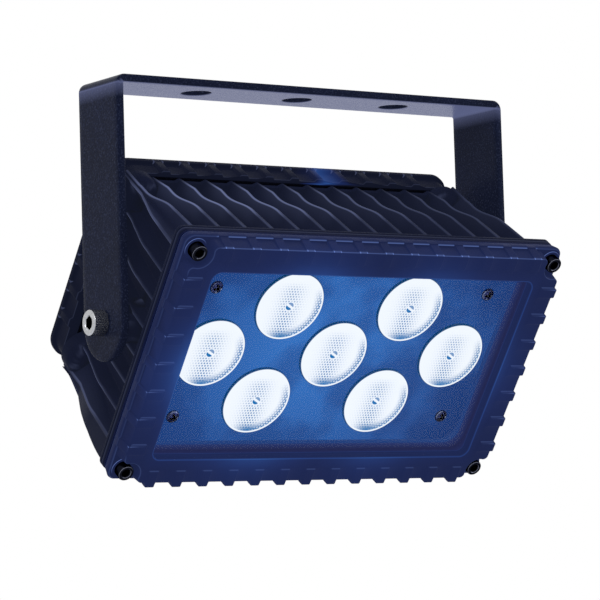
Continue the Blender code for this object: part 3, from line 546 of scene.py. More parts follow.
def crossScrew(head, height, shank, length, sides=48):
    # a pan head screw: domed cap on a shank, with a cross pressed into the dome
    radius = np.concatenate([[shank, shank, head - 0.15, head], np.linspace(head * 0.985, 0.02, 16)])
    z = np.concatenate([[-length, 0, 0, 0.25], np.zeros(16)])
    grid = turned(np.stack([radius, z], -1), sides)
    flat = np.hypot(grid[..., 0], grid[..., 1])
    dome = height * np.sqrt(np.clip(1 - (flat / head) ** 2 * 0.93, 0, 1))
    arm = np.minimum(np.abs(grid[..., 0]), np.abs(grid[..., 1]))
    pressed = (1 - easeStep(arm, 0.35, 0.6)) * (1 - easeStep(flat, head * 0.52, head * 0.68)) * height * 0.75
    top = np.arange(len(radius))[:, None] >= 4
    grid[..., 2] = np.where(top, dome - pressed, grid[..., 2])
    # painted shade in the pressed cross; painted highlights in a ring near the head's edge and two fixed
    # glints
    shade = np.where(top, easeStep(pressed, 0.3, 1.2), 0.0)
    ring = easeStep(flat, head * 0.8, head * 0.93) * (1 - easeStep(flat, head * 0.93, head))
    spots = np.exp(-((np.hypot(grid[..., 0] - 1.9, grid[..., 1] + 0.9) / 0.5) ** 2))
    spots += np.exp(-((np.hypot(grid[..., 0] + 0.6, grid[..., 1] + 2.1) / 0.5) ** 2))
    return shell(grid), {"shade": shade, "gleam": np.where(top, np.clip(0.3 * ring + 1.2 * spots, 0, 1), 0.0)}


def alongAxis(part, x, side):
    # a screw drawn along z, laid along the tilt axis with its head pointing out on that side
    points, faces = part
    laid = np.stack([points[:, 2] * side, points[:, 0], points[:, 1] * side], -1)
    return moved(laid, x * side, 0, -stance["pivotDrop"]), faces


clamp = {
    "head": 6.5, "height": 8.0, "shank": 4.0, "length": 22.0, "key": 6.0, "ridges": 44, "washer": 9.5,
    "washerFoot": 111.9,
}


def buildClamps():
    bearing = bracket["outside"] + 0.3
    for side, word in ((1, "right"), (-1, "left")):
        screw, marks = socketScrew(clamp["head"], clamp["height"], clamp["shank"], clamp["length"],
                                   clamp["key"], clamp["ridges"], clamp["ridges"] * 6)
        part = alongAxis(screw, bearing, side)
        piece = makePiece(f"tilt_screw_{word}", [part], finishes["steel"], 28, **marks)
        settle(piece, "lamp", "bright_screw", f"clamp_screw_{word}")
        r = clamp["washer"]
        ring = [(4.4, 0.1), (4.6, 0), (r - 0.3, 0), (r, 0.3),
                (r, 1.9), (r - 0.3, 2.2), (4.6, 2.2), (4.4, 2.1)]
        part = alongAxis(shell(turned(ring, 64), along=True), clamp["washerFoot"], side)
        washer = makePiece(f"friction_washer_{word}", [part], finishes["rubber"])
        settle(washer, "lamp", "silicone", f"pivot_washer_{word}")


buildClamps()
print("clamp screws built")


# housing

housing = {
    "flangeFront": 30.0, "flangeBack": 25.4, "flange": (113.0, 68.6), "flangeCorner": 4.0,
    "plateFront": -44.5, "plate": (97.6, 53.4), "coreFront": (101.0, 56.2), "coreRear": (91.5, 46.0),
    "pitch": (15.5, 15.8), "recess": (97.0, 53.0), "recessFloor": 9.5, "boss": 11.0, "bossFace": 111.6,
    "screwBoss": 11.2, "screw": (94.5, 47.0), "cornerFins": (100.75, 55.3), "cornerReach": (102.0, 57.9),
    "cornerFloor": (103.8, 58.2),
}


def finReach(z):
    # a slow flare to the front, with an S laid over it and a last slow rise to the flange
    across = (98.9 + 3.2 * np.clip((z + 47.5) / 23.5, 0, 1) + 5.3 * easeStep(z, -32, 0)
              + 2.0 * np.clip(z / 23.6, 0, 1))
    up = (54.8 + 3.4 * np.clip((z + 47.5) / 16.5, 0, 1) + 5.9 * easeStep(z, -26, 1)
          + 1.5 * np.clip((z - 1) / 22.6, 0, 1))
    return across, up


def coreSize(z):
    # the wall between the fins: straight taper, then a small fillet up to the flange
    t = np.clip((z - housing["plateFront"]) / (housing["recessFloor"] - housing["plateFront"]), 0, 1)
    near = np.clip((z - housing["flangeBack"] + 2.5) / 2.5, 0, 1)
    fillet = 2.5 * (1 - math.sqrt(1 - near ** 2))
    return [rear + (ahead - rear) * t + fillet
            for rear, ahead in zip(housing["coreRear"], housing["coreFront"])]


def finRun(places, base, reach, wide=0.0, spread=0.0):
    # fins along a side: a filleted foot, leaning flanks and a flat crest, as (place, height)
    foot = np.array([-2.6, -2.1, -1.75]) - spread
    crest = np.array([-0.85, -0.6, -0.3]) - wide
    scale = min((reach - base) / 3, 1)
    rise = np.array([0.0, 0.25, 0.9]) * scale
    drop = np.array([0.75, 0.2, 0.0]) * scale
    offset = np.concatenate([foot, crest, -crest[::-1], -foot[::-1]])
    height = np.concatenate([base + rise, reach - drop, reach - drop[::-1], base + rise[::-1]])
    place = (np.array(places)[:, None] + offset).ravel()
    return place, np.tile(height, len(places))


def cornerRun(z, base, low=False):
    # round a corner, as (x, y, painted highlight): the last side fin, a groove that deepens to the front, the
    # last top fin; the lower corners are solid instead, flush with the side fin down to the last fin
    # underneath
    reachX, reachY = [max(reach, least) for reach, least in zip(finReach(z), housing["cornerReach"])]
    x, y = housing["cornerFins"]
    wide = 0.25 * float(easeStep(z, -6, 6))
    near, mid, far = 0.3 + wide, 0.6 + wide, 0.85 + wide
    floorX = max(housing["cornerFloor"][0], base[0] + 1.6)
    floorY = max(housing["cornerFloor"][1], base[1] + 1.1)
    deep = float(easeStep(z, -34, -8))
    sideFoot = min(y - 2.6, base[1] - 2.5)
    topFoot = min(x - 2.6, base[0] - 2.5)

    def mix(shallow, sunk):
        return tuple(a + (b - a) * deep for a, b in zip(shallow, sunk)) + (0,)

    path = [(base[0], sideFoot, 0), (base[0] + 0.25, sideFoot + 0.5, 0), (base[0] + 0.9, sideFoot + 0.9, 0),
            (reachX - 0.75, y - far, 0.1), (reachX - 0.2, y - mid, 1), (reachX, y - near, 0.8),
            (reachX, y + near, 0.5), (reachX - 0.2, y + mid, 0.5), (reachX - 0.75, y + far, 0.1),
            mix((reachX - 0.5, y + far + 0.1), (floorX + 0.3, floorY - 0.5)),
            mix((x + far + 0.3, reachY - 1.2), (floorX - 0.1, floorY)),
            mix((x + far + 0.15, reachY - 1.0), (floorX - 0.7, floorY + 0.5)),
            (x + far, reachY - 0.75, 0.1), (x + mid, reachY - 0.2, 1), (x + near, reachY, 0.8),
            (x - near, reachY, 0.5), (x - mid, reachY - 0.2, 0.5), (x - far, reachY - 0.75, 0.1),
            (topFoot + 0.9, base[1] + 0.9, 0), (topFoot + 0.5, base[1] + 0.25, 0), (topFoot, base[1], 0)]
    if low:
        fall = 1.4 + 6.8 * float(easeStep(z, -46, -12)) + 3.4 * float(easeStep(z, -12, 20))
        edge = reachX + 1.4 * float(easeStep(z, -34, 12)) - 0.9 * (1 - float(easeStep(z, -47, -36)))
        edge = min(edge, housing["flange"][0] - 0.3)
        path[8:13] = [(reachX - 0.35, y + far + 0.5, 0), (edge - 0.2, y + far + fall - 1.6, 0),
                      (edge - 0.7, y + far + fall - 0.5, 0.3), (edge - 2.0, y + far + fall, 0.2),
                      (x + far + 0.6, max(reachY - 0.5, y + far + fall - 0.8), 0)]
    return np.array(path, float)


def finRing(z, base=None, trim=0.0):
    base = coreSize(z) if base is None else base
    reachX, reachY = [reach - trim for reach in finReach(z)]
    wide = 0.25 * float(easeStep(z, -6, 6))
    spread = 1.0 * float(easeStep(z, housing["flangeBack"] - 4.5, housing["flangeBack"]))
    y, right = finRun(multiples(housing["pitch"][1], 6), base[0], reachX, wide, spread)
    x, top = finRun(multiples(housing["pitch"][0], 12), base[1], reachY, wide, spread)
    right, top = np.stack([right, y], -1), np.stack([-x, top], -1)
    high, low = cornerRun(z, base)[:, :2], cornerRun(z, base, True)[:, :2]
    return lifted(np.concatenate([right, high, top, high[::-1] * [-1, 1],
                                  -right, -low, -top, low[::-1] * [1, -1]]), z)


def finGleam(z):
    # painted highlights on the crests: a line over the S on the left, a faint flat band before the flange
    crest = np.array([0, 0, 0, 0, 0.1, 0.3, 0.8, 1, 0.1, 0, 0, 0])
    bend = float(easeStep(z, -46, -30) * (1 - 0.75 * easeStep(z, -4, 8)))
    x = -np.array(multiples(housing["pitch"][0], 12))[:, None]
    left = np.clip(0.62 - x / 150, 0.25, 1)
    front = 0.05 * easeStep(x, 10, 80) * float(easeStep(z, -4, 6))
    top = (crest * (bend * left * 0.5 + front)).ravel()
    side = np.tile(crest * (0.16 * bend + 0.05), 6)
    high, low = [cornerRun(z, coreSize(z), lower)[:, 2] * (0.08 + 0.25 * bend) for lower in (False, True)]
    return np.concatenate([side, high * 0.5, top, high[::-1], side, low * 0.6, top * 0.4, low[::-1] * 0.4])


def flangeRing(z, inset):
    halfX, halfY = [half - inset for half in housing["flange"]]
    radius = housing["flangeCorner"] - inset / 2
    y, _ = finRun(multiples(housing["pitch"][1], 6), 0, 3, 0.6, 1.0)
    x, _ = finRun(multiples(housing["pitch"][0], 12), 0, 3, 0.6, 1.0)
    right = np.stack([np.full_like(y, halfX), y], -1)
    top = np.stack([-x, np.full_like(x, halfY)], -1)
    corner = np.concatenate([straight((halfX, 52.7), (halfX, 58.5), 8),
                             arc(halfX - radius, halfY - radius, radius, 5, 85, 5),
                             straight((104.0, halfY), (98.15, halfY), 8)])
    return lifted(aroundRim(right, corner, top), z)


def inwards(outline, halfX, halfY, radius):
    # the same points pulled along rays from the middle onto a rounded rectangle
    target = rounded(halfX, halfY, radius, 24)
    bearing = np.arctan2(target[:, 1], target[:, 0])
    order = np.argsort(bearing)
    angle = np.arctan2(outline[:, 1], outline[:, 0])
    x = np.interp(angle, bearing[order], target[order, 0], period=2 * np.pi)
    y = np.interp(angle, bearing[order], target[order, 1], period=2 * np.pi)
    return np.stack([x, y], -1)


def buildHousing():
    # rings of fins from the rear plate to the flange, then the flange's own rings and the recess in its front
    back, front = housing["flangeBack"], housing["flangeFront"]
    rear = [(-47.5, 0.35), (-47.35, 0.1), (-47.1, 0.0), (-44.8, 0.0)]
    depths = [z for z, _ in rear] + list(np.linspace(-44.4, back - 2.5, 42))
    depths += list(back - 2.5 + np.array([0.6, 1.2, 1.7, 2.1, 2.35, 2.47]))
    rows = [finRing(z, [half - trim for half in housing["plate"]], trim) for z, trim in rear]
    rows += [finRing(z) for z in depths[len(rear):]]
    groove = ((0.0, 0.6), (0.15, 0.2), (0.5, 0.0), (1.7, 0.0), (1.85, 0.45), (2.5, 0.45), (2.65, 0.0))
    rows += [flangeRing(back + z, inset) for z, inset in groove]
    rows += [flangeRing(front - z, inset) for z, inset in ((0.6, 0.0), (0.2, 0.15), (0.0, 0.6))]
    mouth = inwards(rows[-1][:, :2], *housing["recess"], 8)
    rows += [lifted(mouth, z) for z in (front, front - 0.5, housing["recessFloor"])]
    # painted light: a faint glow over the casting and the lenses' blue on the recess walls; painted
    # highlights on the fin crests and the flange's edges
    glow = np.full((len(rows), len(rows[0])), 0.012)
    glow[-3:] = 0.35
    gleam = np.zeros_like(glow)
    gleam[:len(depths)] = [finGleam(z) for z in depths]
    gleam[len(depths):len(depths) + 2] = 0.1
    gleam[len(depths) + 6] = 0.07
    body = makePiece("finned_housing", [inLamp(shell(np.stack(rows)))], finishes["cast"], 38,
                     glow=glow, gleam=gleam)
    r, boss, face = housing["screwBoss"], housing["boss"], housing["bossFace"]
    domed = shell(turned([(0.05, -47.3), (r - 0.3, -47.3), (r, -47.0), (r, -41.5), (r - 0.35, -39.7),
                          (r - 1.4, -38.0), (r - 3.2, -36.6), (r - 5.4, -35.7), (0.05, -35.2)], 56))
    post = shell(turned([(0.05, 92), (13.5, 92), (13.0, 100), (boss, 106), (boss, face - 0.8),
                         (boss - 0.8, face), (0.05, face)], 64))
    extra = [inLamp(domed, x, y) for x, y in corners(*housing["screw"])]
    extra += [alongAxis(post, 0, side) for side in (1, -1)]
    cutPiece(body, extra, 38, "UNION")
    settle(body, "lamp", "coated_casting", "heatsink_body")


seal = {
    "outer": (113.1, 68.8, 5.0), "slim": (112.7, 68.4, 4.8), "step": (101.3, 57.3, 5.0),
    "bore": (97.4, 53.4, 8.0), "back": 30.05, "front": 31.95, "seat": 35.4, "hole": 3.0,
}


def buildSeal():
    # the seal between flange and bezel: rounded outlines at set heights, with a step that carries the glass
    outer, slim, step, bore = [rounded(*seal[name]) for name in ("outer", "slim", "step", "bore")]
    back, front, seat = seal["back"], seal["front"], seal["seat"]
    rows = [lifted(slim, back), lifted(outer, 30.4), lifted(outer, 31.6), lifted(slim, front),
            lifted(step, front), lifted(step, seat), lifted(bore, seat), lifted(bore, back)]
    # painted light: the lenses' blue on the seal, strongest on its step and bore, with faint painted
    # highlights there
    glow = np.zeros((len(rows), len(outer)))
    glow[:4] = 0.06
    glow[5:] = np.array([0.2, 0.1, 0.25])[:, None]
    gleam = np.zeros_like(glow)
    gleam[5:] = 0.04
    piece = makePiece("bezel_seal", [inLamp(shell(np.stack(rows), along=True))], finishes["rubber"], 35,
                      glow=glow, gleam=gleam)
    cutPiece(piece, [inLamp(tube(x, y, seal["hole"], 29, 33, 32)) for x, y in corners(*bezel["screw"])], 35)
    settle(piece, "lamp", "silicone", "front_gasket")


buildHousing()
print("housing built")


# front bezel

optics = {
    "radius": 19.1, "row": 27.7, "step": 73.4, "plateBack": 27.0, "plateFront": 28.5, "plate": (96.4, 52.4),
    "screw": (82.4, 37.3), "facet": 1.65, "dome": 0.2, "front": 29.8,
}


def lensPlaces():
    return ([(x, optics["row"]) for x in multiples(optics["step"], 2)]
            + [(x, 0.0) for x in multiples(optics["step"], 3)]
            + [(x, -optics["row"]) for x in multiples(optics["step"], 2)])


bezel = {
    "back": 32.0, "ledge": 37.4, "floor": 37.6, "face": 44.6, "band": (113.8, 69.8), "draft": 0.8,
    "panel": (111.4, 67.2), "step": 1.0, "rise": 1.2, "rimRise": (1.2, 0.5, 2.3), "tip": 2.1, "root": 2.9,
    "padTip": 2.4, "padRoot": 3.5, "lift": 0.8, "pad": (9.5, 7.5), "corner": 5.0, "screw": (107.0, 62.5),
    "pocket": 6.9, "fillet": 2.5, "window": (96.4, 53.2), "windowCorner": 4.5, "lip": 40.0,
    "rebate": (101.6, 57.6), "across": 13, "up": 7,
}


def ribRun(pitch, count, look, end, onFace=0.0):
    # places along a side with the rib's height there: flat tip and leaning flanks, which steepen on the face
    tip = look["tip"] + onFace * (look.get("padTip", look["tip"]) - look["tip"])
    root = look["root"] + onFace * (look.get("padRoot", look["root"]) - look["root"])
    soft = 0.3 - 0.15 * onFace
    offset = np.array([-root, -root + soft, -tip - soft, -tip, 0.5 - tip])
    offset = np.concatenate([offset, -offset[::-1]])
    height = np.array([0, 0.1, 0.9, 1, 1, 1, 1, 0.9, 0.1, 0])
    place = (np.array(multiples(pitch, count))[:, None] + offset).ravel()
    return np.clip(place, -end, end), np.tile(height, count)


def rimMarks(right=None, top=None, left=None, bottom=None, corner=0.0):
    # one number for each point of a bezel ring, from ten for a rib on each side; right runs up, left down,
    # top leftwards and bottom rightwards
    bare = [0] * 10
    ends = np.full(37, corner)
    runs = [np.tile(right or bare, bezel["up"]), np.tile(top or bare, bezel["across"]),
            np.tile(left or bare, bezel["up"]), np.tile(bottom or bare, bezel["across"])]
    return np.concatenate([part for run in runs for part in (run, ends)])


def pocketCorner(insetX, insetY, grow):
    # the screw pocket seen from the front: a hollow arc round the screw, with a fillet to each edge
    halfX, halfY = bezel["panel"][0] - insetX, bezel["panel"][1] - insetY
    cx, cy = bezel["screw"]
    radius, fillet = bezel["pocket"] + grow, max(bezel["fillet"] - grow, 0.4)
    sideX = halfX - fillet
    sideY = cy - math.sqrt((radius + fillet) ** 2 - (sideX - cx) ** 2)
    topY = halfY - fillet
    topX = cx - math.sqrt((radius + fillet) ** 2 - (topY - cy) ** 2)
    first = math.degrees(math.atan2(cy - sideY, cx - sideX))
    last = math.degrees(math.atan2(cy - topY, cx - topX))
    side = arc(sideX, sideY, fillet, 0, first, 9)
    hollow = arc(cx, cy, radius, first + 180, last + 180, 21)
    top = arc(topX, topY, fillet, last, 90, 9)
    return np.concatenate([side, hollow[1:-1], top])


def roundCorner(halfX, halfY, radius):
    # a plain round corner with as many points as the pocket
    return np.concatenate([
        straight((halfX, 51.6), (halfX, halfY - radius), 9),
        arc(halfX - radius, halfY - radius, radius, 0, 90, 21)[1:-1],
        straight((halfX - radius, halfY), (97.3, halfY), 9),
    ])


def bezelRing(z, half, corner, rise=0.0, lift=0.0, endY=51.5, endX=97.2, onFace=0.0):
    y, ribY = ribRun(housing["pitch"][1], bezel["up"], bezel, endY, onFace)
    x, ribX = ribRun(housing["pitch"][0], bezel["across"], bezel, endX, onFace)
    # rise is one height for every rib, or one each for the sides, the top and the bottom
    side, high, low = np.broadcast_to(rise, 3)
    right = np.stack([half[0] + side * ribY, y], -1)
    tops = [np.stack([-x, half[1] + top * ribX], -1) for top in (high, low)]
    halves = [np.concatenate([right, corner, top, corner[::-1] * [-1, 1]]) for top in tops]
    outline = np.concatenate([halves[0], -halves[1]])
    bare = np.zeros(len(corner))
    halfLift = np.concatenate([ribY, bare, ribX, bare])
    return lifted(outline, z + lift * np.concatenate([halfLift, halfLift]))


def lensHaze(points):
    # painted light, standing for the lenses' light scattered on to the bezel: fades with the distance from
    # the nearest lens, more on the left
    near = np.min([np.hypot(points[..., 0] - x, points[..., 1] - y) for x, y in lensPlaces()], 0)
    side = np.clip(0.75 - points[..., 0] / 300, 0.4, 1.1)
    return 0.5 * np.exp(-(near - optics["radius"]) / 9.5) * side


def buildBezel():
    # rings from the back edge over the band, ledge, wall and rim to the pads' ends, then down into the window
    band, panel, draft, back = bezel["band"], bezel["panel"], bezel["draft"], bezel["back"]
    face, lift, lip, step = bezel["face"], bezel["lift"], bezel["lip"], bezel["step"]

    def bandRing(z, inset, flush=0.0):
        half = (band[0] - inset, band[1] - inset)
        return bezelRing(z, half, roundCorner(*half, bezel["corner"] - inset / 2), inset * flush)

    def wallRing(z):
        half = (panel[0] + step, panel[1] + step)
        return bezelRing(z, half, roundCorner(*half, 4.0), bezel["rise"])

    def frontRing(z, inset, lift=0.0, rise=0.0):
        # inset grows faster at the sides, whose pads are longer; the pocket keeps nearly its own size
        insetX = inset * (1 if inset < 1 else 1 + (inset - 1) / (bezel["pad"][1] - 1)
                          * (bezel["pad"][0] / bezel["pad"][1] - 1))
        corner = pocketCorner(insetX, inset, max(min(inset, 1.2), 0) + 0.05 * max(inset - 1.2, 0))
        half = (panel[0] - insetX, panel[1] - inset)
        return bezelRing(z, half, corner, rise, lift, min(corner[0, 1], 51.5), min(corner[-1, 0], 97.2),
                         float(np.clip(inset / 1.5, 0, 1)))

    def windowRing(z, grow, size=bezel["window"], radius=bezel["windowCorner"]):
        half = (size[0] + grow, size[1] + grow)
        r = radius + grow
        corner = arc(half[0] - r, half[1] - r, r, 0, 90, 37)
        return bezelRing(z, half, corner, 0, 0, half[1] - r - 0.2, half[0] - r - 0.2)

    # painted highlights along the band's back edge, the ledge, the rim's crests and the pads' inner ends
    none = rimMarks()
    edge = rimMarks([0.3] * 10, [0.55] * 10, [0.7] * 10, [0.1] * 10, 0.7)
    ledge = rimMarks([0.1] * 10, [1] + [0] * 8 + [1], [0.15] * 10, [0.1] * 10, 0.25)
    upper = [0, 0, 0, 0, 0, 0.1, 1.2, 0, 0, 0]
    crest = [0.6, 0.6, 0.6, 2.6, 0.7, 0.7, 2.6, 0.6, 0.6, 0.6]
    rim = rimMarks(upper, crest, upper[:2] + [0, 1.2, 0.1] + [0] * 5, None, 0.25)
    inner = rimMarks(bottom=[0, 0, 0.1, 0.25, 0.25, 0.25, 0.25, 0.1, 0, 0])

    def padEdge(dash, line):
        # painted highlights on the pads' upper edges: a dash that fades inwards and a line at its foot
        up = [0, 0, 0, 0, 0, 0, dash, 0, line, 0]
        return rimMarks(up, None, up[::-1])

    # rows of (ring, glow, gleam): painted lens light and painted highlights for each ring
    rows = [(bandRing(back, draft + 0.5), 0.06, none)]
    rows += [(bandRing(*ring), 0.07, marks) for ring, marks in (
        ((back + 0.15, draft + 0.15), edge), ((back + 0.5, draft), none), ((36.0, 0.05), none),
        ((36.6, 0.2, 1), none), ((37.0, 0.5, 1), ledge * 0.5), ((37.2, 0.75, 1), ledge),
        ((bezel["ledge"], 0.95, 1), none))]
    rows += [(wallRing(z), 0.06, none) for z in (37.45, bezel["floor"])]
    rise = np.array(bezel["rimRise"])
    rows += [(frontRing(bezel["floor"], -step, 0, bezel["rise"]), 0.06, none)]
    rows += [(frontRing(face - drop, inset, lift * part, rise), 0.08, marks) for drop, inset, part, marks in (
        (0.7, 0, 0, none), (0.25, 0.1, 0.6, rim * 0.7), (0.06, 0.25, 0.9, rim), (0, 0.5, 1, none))]
    fading = ((0.9, 0.6, 0.8), (1.5, 0.5, 0.7), (2.5, 0.25, 0.5), (3.5, 0.1, 0.3), (4.5, 0.0, 0.15),
              (6.0, 0.0, 0.1))
    rows += [(frontRing(face, inset, lift, rise * still), 0.08, padEdge(dash, 0.3))
             for inset, still, dash in fading]
    end = bezel["pad"][1]
    rows += [(frontRing(face, end + more, lift * part), 0.08, marks) for more, part, marks in (
        (-0.5, 1, padEdge(0, 0.3)), (-0.15, 0.9, inner), (0, 0.6, inner), (0.2, 0.1, none), (0.3, 0, none))]
    plain = len(rows)
    # painted lens light on the window's walls
    inside = [(windowRing(z, grow), glow) for z, grow, glow in (
        (face, 1.0, 0.1), (face - 0.1, 0.5, 0.3), (face - 0.4, 0.12, 0.16), (face - 0.8, 0, 0.1),
        (lip + 0.9, 0, 0.12), (lip + 0.5, -0.3, 0.1), (lip + 0.12, -0.5, 0.25), (lip, -0.3, 0.15))]
    inside += [(windowRing(z, 0, bezel["rebate"], 6.3), glow) for z, glow in ((lip, 0.2), (back, 0.15))]
    grid = np.stack([row[0] for row in rows + inside])
    glow = np.array([row[1] for row in rows + inside])[:, None] * np.ones(grid.shape[1])
    glow[10:plain + 2] += lensHaze(grid[10:plain + 2])
    gleam = np.zeros_like(glow)
    gleam[:plain] = [row[2] for row in rows]
    # a raised ring on the pocket's floor round each screw, with a painted highlight on its upper left edge
    floor = bezel["floor"]
    ring = turned([(4.5, floor - 0.3), (5.9, floor - 0.3), (5.9, floor + 0.5), (5.75, floor + 0.68),
                   (5.55, floor + 0.75), (4.7, floor + 0.75), (4.5, floor + 0.55)], 64)
    arcGleam = np.zeros(ring.shape[:2])
    arcGleam[3] = np.clip(np.cos(np.linspace(0, 2 * np.pi, 64, endpoint=False) - 2.1), 0, 1) ** 0.7
    shells = [inLamp(shell(grid, along=True))]
    shells += [inLamp(shell(ring, along=True), x, y) for x, y in corners(*bezel["screw"])]
    # a faint painted glow on the pocket rings too, and the painted highlight on their upper left
    glow = np.concatenate([glow.ravel(), np.full(4 * ring.shape[0] * ring.shape[1], 0.07)])
    gleam = np.concatenate([gleam.ravel() * 0.3, np.tile(arcGleam.ravel() * 0.5, 4)])
    piece = makePiece("ribbed_bezel", shells, finishes["litBezelCoat"], 33, glow=glow, gleam=gleam)
    settle(piece, "lamp", "coated_casting", "front_bezel")
    for number, (x, y) in enumerate(corners(*bezel["screw"]), 1):
        part, marks = socketScrew(4.25, 5.0, 2.5, 15.0, 4.0, 0, 72, 0.45)
        screw = makePiece(f"corner_screw_{number}", [inLamp(part, x, y, floor + 0.3)], finishes["blackSteel"],
                          30, **marks)
        settle(screw, "lamp", "black_screw", f"bezel_screw_{number}")


buildBezel()
buildSeal()
print("bezel built")


# lenses and their plate

def nearestHex(x, y, pitch):
    # distance to the nearest middle of a honeycomb: the better of two offset rectangular grids
    wide = pitch * math.sqrt(3)
    first = np.hypot(x - np.round(x / pitch) * pitch, y - np.round(y / wide) * wide)
    second = np.hypot(x - (np.floor(x / pitch) + 0.5) * pitch, y - (np.floor(y / wide) + 0.5) * wide)
    return np.minimum(first, second)


def lensGrid():
    # front: rings of points whose height is a small dome on each honeycomb cell, with a plain rim and a
    # dished gate mark in the middle; behind it a plain flange and cone
    radius = np.concatenate([[0.03, 0.5, 1.0, 1.5, 1.9, 2.1, 2.3, 2.6], np.linspace(2.9, 17.9, 56),
                             [18.1, 18.3, 18.7, 18.85, 19.0, 19.1]])
    angle = np.linspace(0, 2 * np.pi, 300, endpoint=False)
    r, a = np.meshgrid(radius, angle, indexing="ij")
    x, y = r * np.cos(a), r * np.sin(a)
    cell = np.clip(nearestHex(x, y, optics["facet"]) / (optics["facet"] * 0.577), 0, 1)
    patterned = easeStep(r, 2.7, 3.1) * (1 - easeStep(r, 17.8, 18.1))
    dome = (1 - cell ** 2) * optics["dome"] * patterned
    gate = -0.7 * (1 - easeStep(r, 1.9, 2.3))
    rim = 0.22 * easeStep(r, 18.1, 18.4) - 0.35 * easeStep(r, 18.7, 19.1)
    z = optics["front"] + dome + gate + rim
    back = np.array([(19.1, 26.7), (20.3, 26.7), (20.3, 25.3), (19.2, 23.6), (16.8, 20.8), (13.2, 16.2),
                     (9.2, 11.9), (5.0, 11.9), (4.6, 15.5), (0.05, 17.4)])
    behind = turned(back, len(angle))
    grid = np.concatenate([np.stack([x, y, z], -1), behind])
    # what shows of the facets: small pits in a band down the middle, bright facets on blue at the lower right
    band = np.exp(-((x + 1.0) / 6.5) ** 2) * (0.75 + 0.25 * easeStep(-y, -6, 16)) * (1 - easeStep(y, 8, 15))
    far = easeStep(r, 12.5, 17.6) * easeStep((x * 0.75 - y * 0.66) / np.maximum(r, 1), 0.1, 0.75)
    pits = band * (1 - easeStep(cell, 0.3, 0.75)) + far * easeStep(cell, 0.3, 0.75)
    facet = 1 - np.clip(pits, 0, 1) * patterned
    # the gate mark is split by a bar
    across = x * 0.5 + y * 0.87
    mark = (r < 2.2) * (np.abs(across) > 0.62) * np.where(across < 0, 1.0, 0.8)
    facet = facet - mark
    glow = 1 - 0.7 * easeStep(r, 18.75, 18.9)
    facet = facet * (1 - easeStep(r, 18.75, 18.9))
    facet = np.concatenate([facet, np.zeros(behind.shape[:2])])
    glow = np.concatenate([glow, np.full(behind.shape[:2], 0.12)])
    return grid, np.clip(facet, 0, 1), glow


def buildLenses():
    grid, facet, glow = lensGrid()
    for number, (x, y) in enumerate(lensPlaces(), 1):
        piece = makePiece(f"beam_lens_{number}", [inLamp(shell(grid), x, y)], finishes["lens"], 40,
                          facet=facet, glow=glow)
        settle(piece, "lamp", "clear_lens", f"lens_{number}")


def buildPlate():
    # a rounded plate with eased edges, bored for the lenses and screws; each screw stops at its own angle
    half, back, front = optics["plate"], optics["plateBack"], optics["plateFront"]
    outline = rounded(*half, 10.0)
    eased = rounded(half[0] - 0.3, half[1] - 0.3, 9.7)
    rows = [lifted(eased, back), lifted(outline, back + 0.2), lifted(outline, front - 0.2),
            lifted(eased, front)]
    plate = makePiece("lens_holder", [inLamp(shell(np.stack(rows)))], finishes["plate"], 30)
    holes = [inLamp(tube(x, y, optics["radius"] + 0.12, 26, 30, 128)) for x, y in lensPlaces()]
    holes += [inLamp(tube(x, y, 1.8, 26, 30, 32)) for x, y in corners(*optics["screw"])]
    cutPiece(plate, holes, 30)
    settle(plate, "lamp", "lens_plate_coat", "lens_plate")
    for number, (x, y) in enumerate(corners(*optics["screw"]), 1):
        (points, faces), marks = crossScrew(3.5, 2.2, 1.5, 10.0)
        cos, sin = math.cos(math.radians(7 * number)), math.sin(math.radians(7 * number))
        a, b, c = points.T
        spun = np.stack([a * cos - b * sin, a * sin + b * cos, c], -1)
        screw = makePiece(f"holder_screw_{number}", [inLamp((spun, faces), x, y, front + 0.3)],
                          finishes["dullSteel"], 40, **marks)
        settle(screw, "lamp", "bright_screw", f"plate_screw_{number}")


buildLenses()
buildPlate()
print("optics built")


# rear cover, keys and glands

cover = {
    "back": -61.0, "half": (106.2, 58.0), "corner": 12.5, "screw": (94.5, 47.0), "tip": 1.8, "root": 3.2,
    "across": 11, "up": 5, "pocket": 6.4, "pocketFloor": -54.0, "displayY": 24.0, "keyRow": 2.0,
    "keySpacing": 20.0, "keyRadius": 4.6, "glandRow": -30.0, "glandSpacing": 48.0,
}


def coverRing(z, inset, rise):
    half = (cover["half"][0] - inset, cover["half"][1] - inset)
    radius = cover["corner"] - inset / 2
    y, ribY = ribRun(housing["pitch"][1], cover["up"], cover, 46)
    x, ribX = ribRun(housing["pitch"][0], cover["across"], cover, 90)
    corner = arc(half[0] - radius, half[1] - radius, radius, 0, 90, 25)
    right = np.stack([half[0] + rise * ribY, y], -1)
    return lifted(aroundRim(right, corner, np.stack([-x, half[1] + rise * ribX], -1)), z)


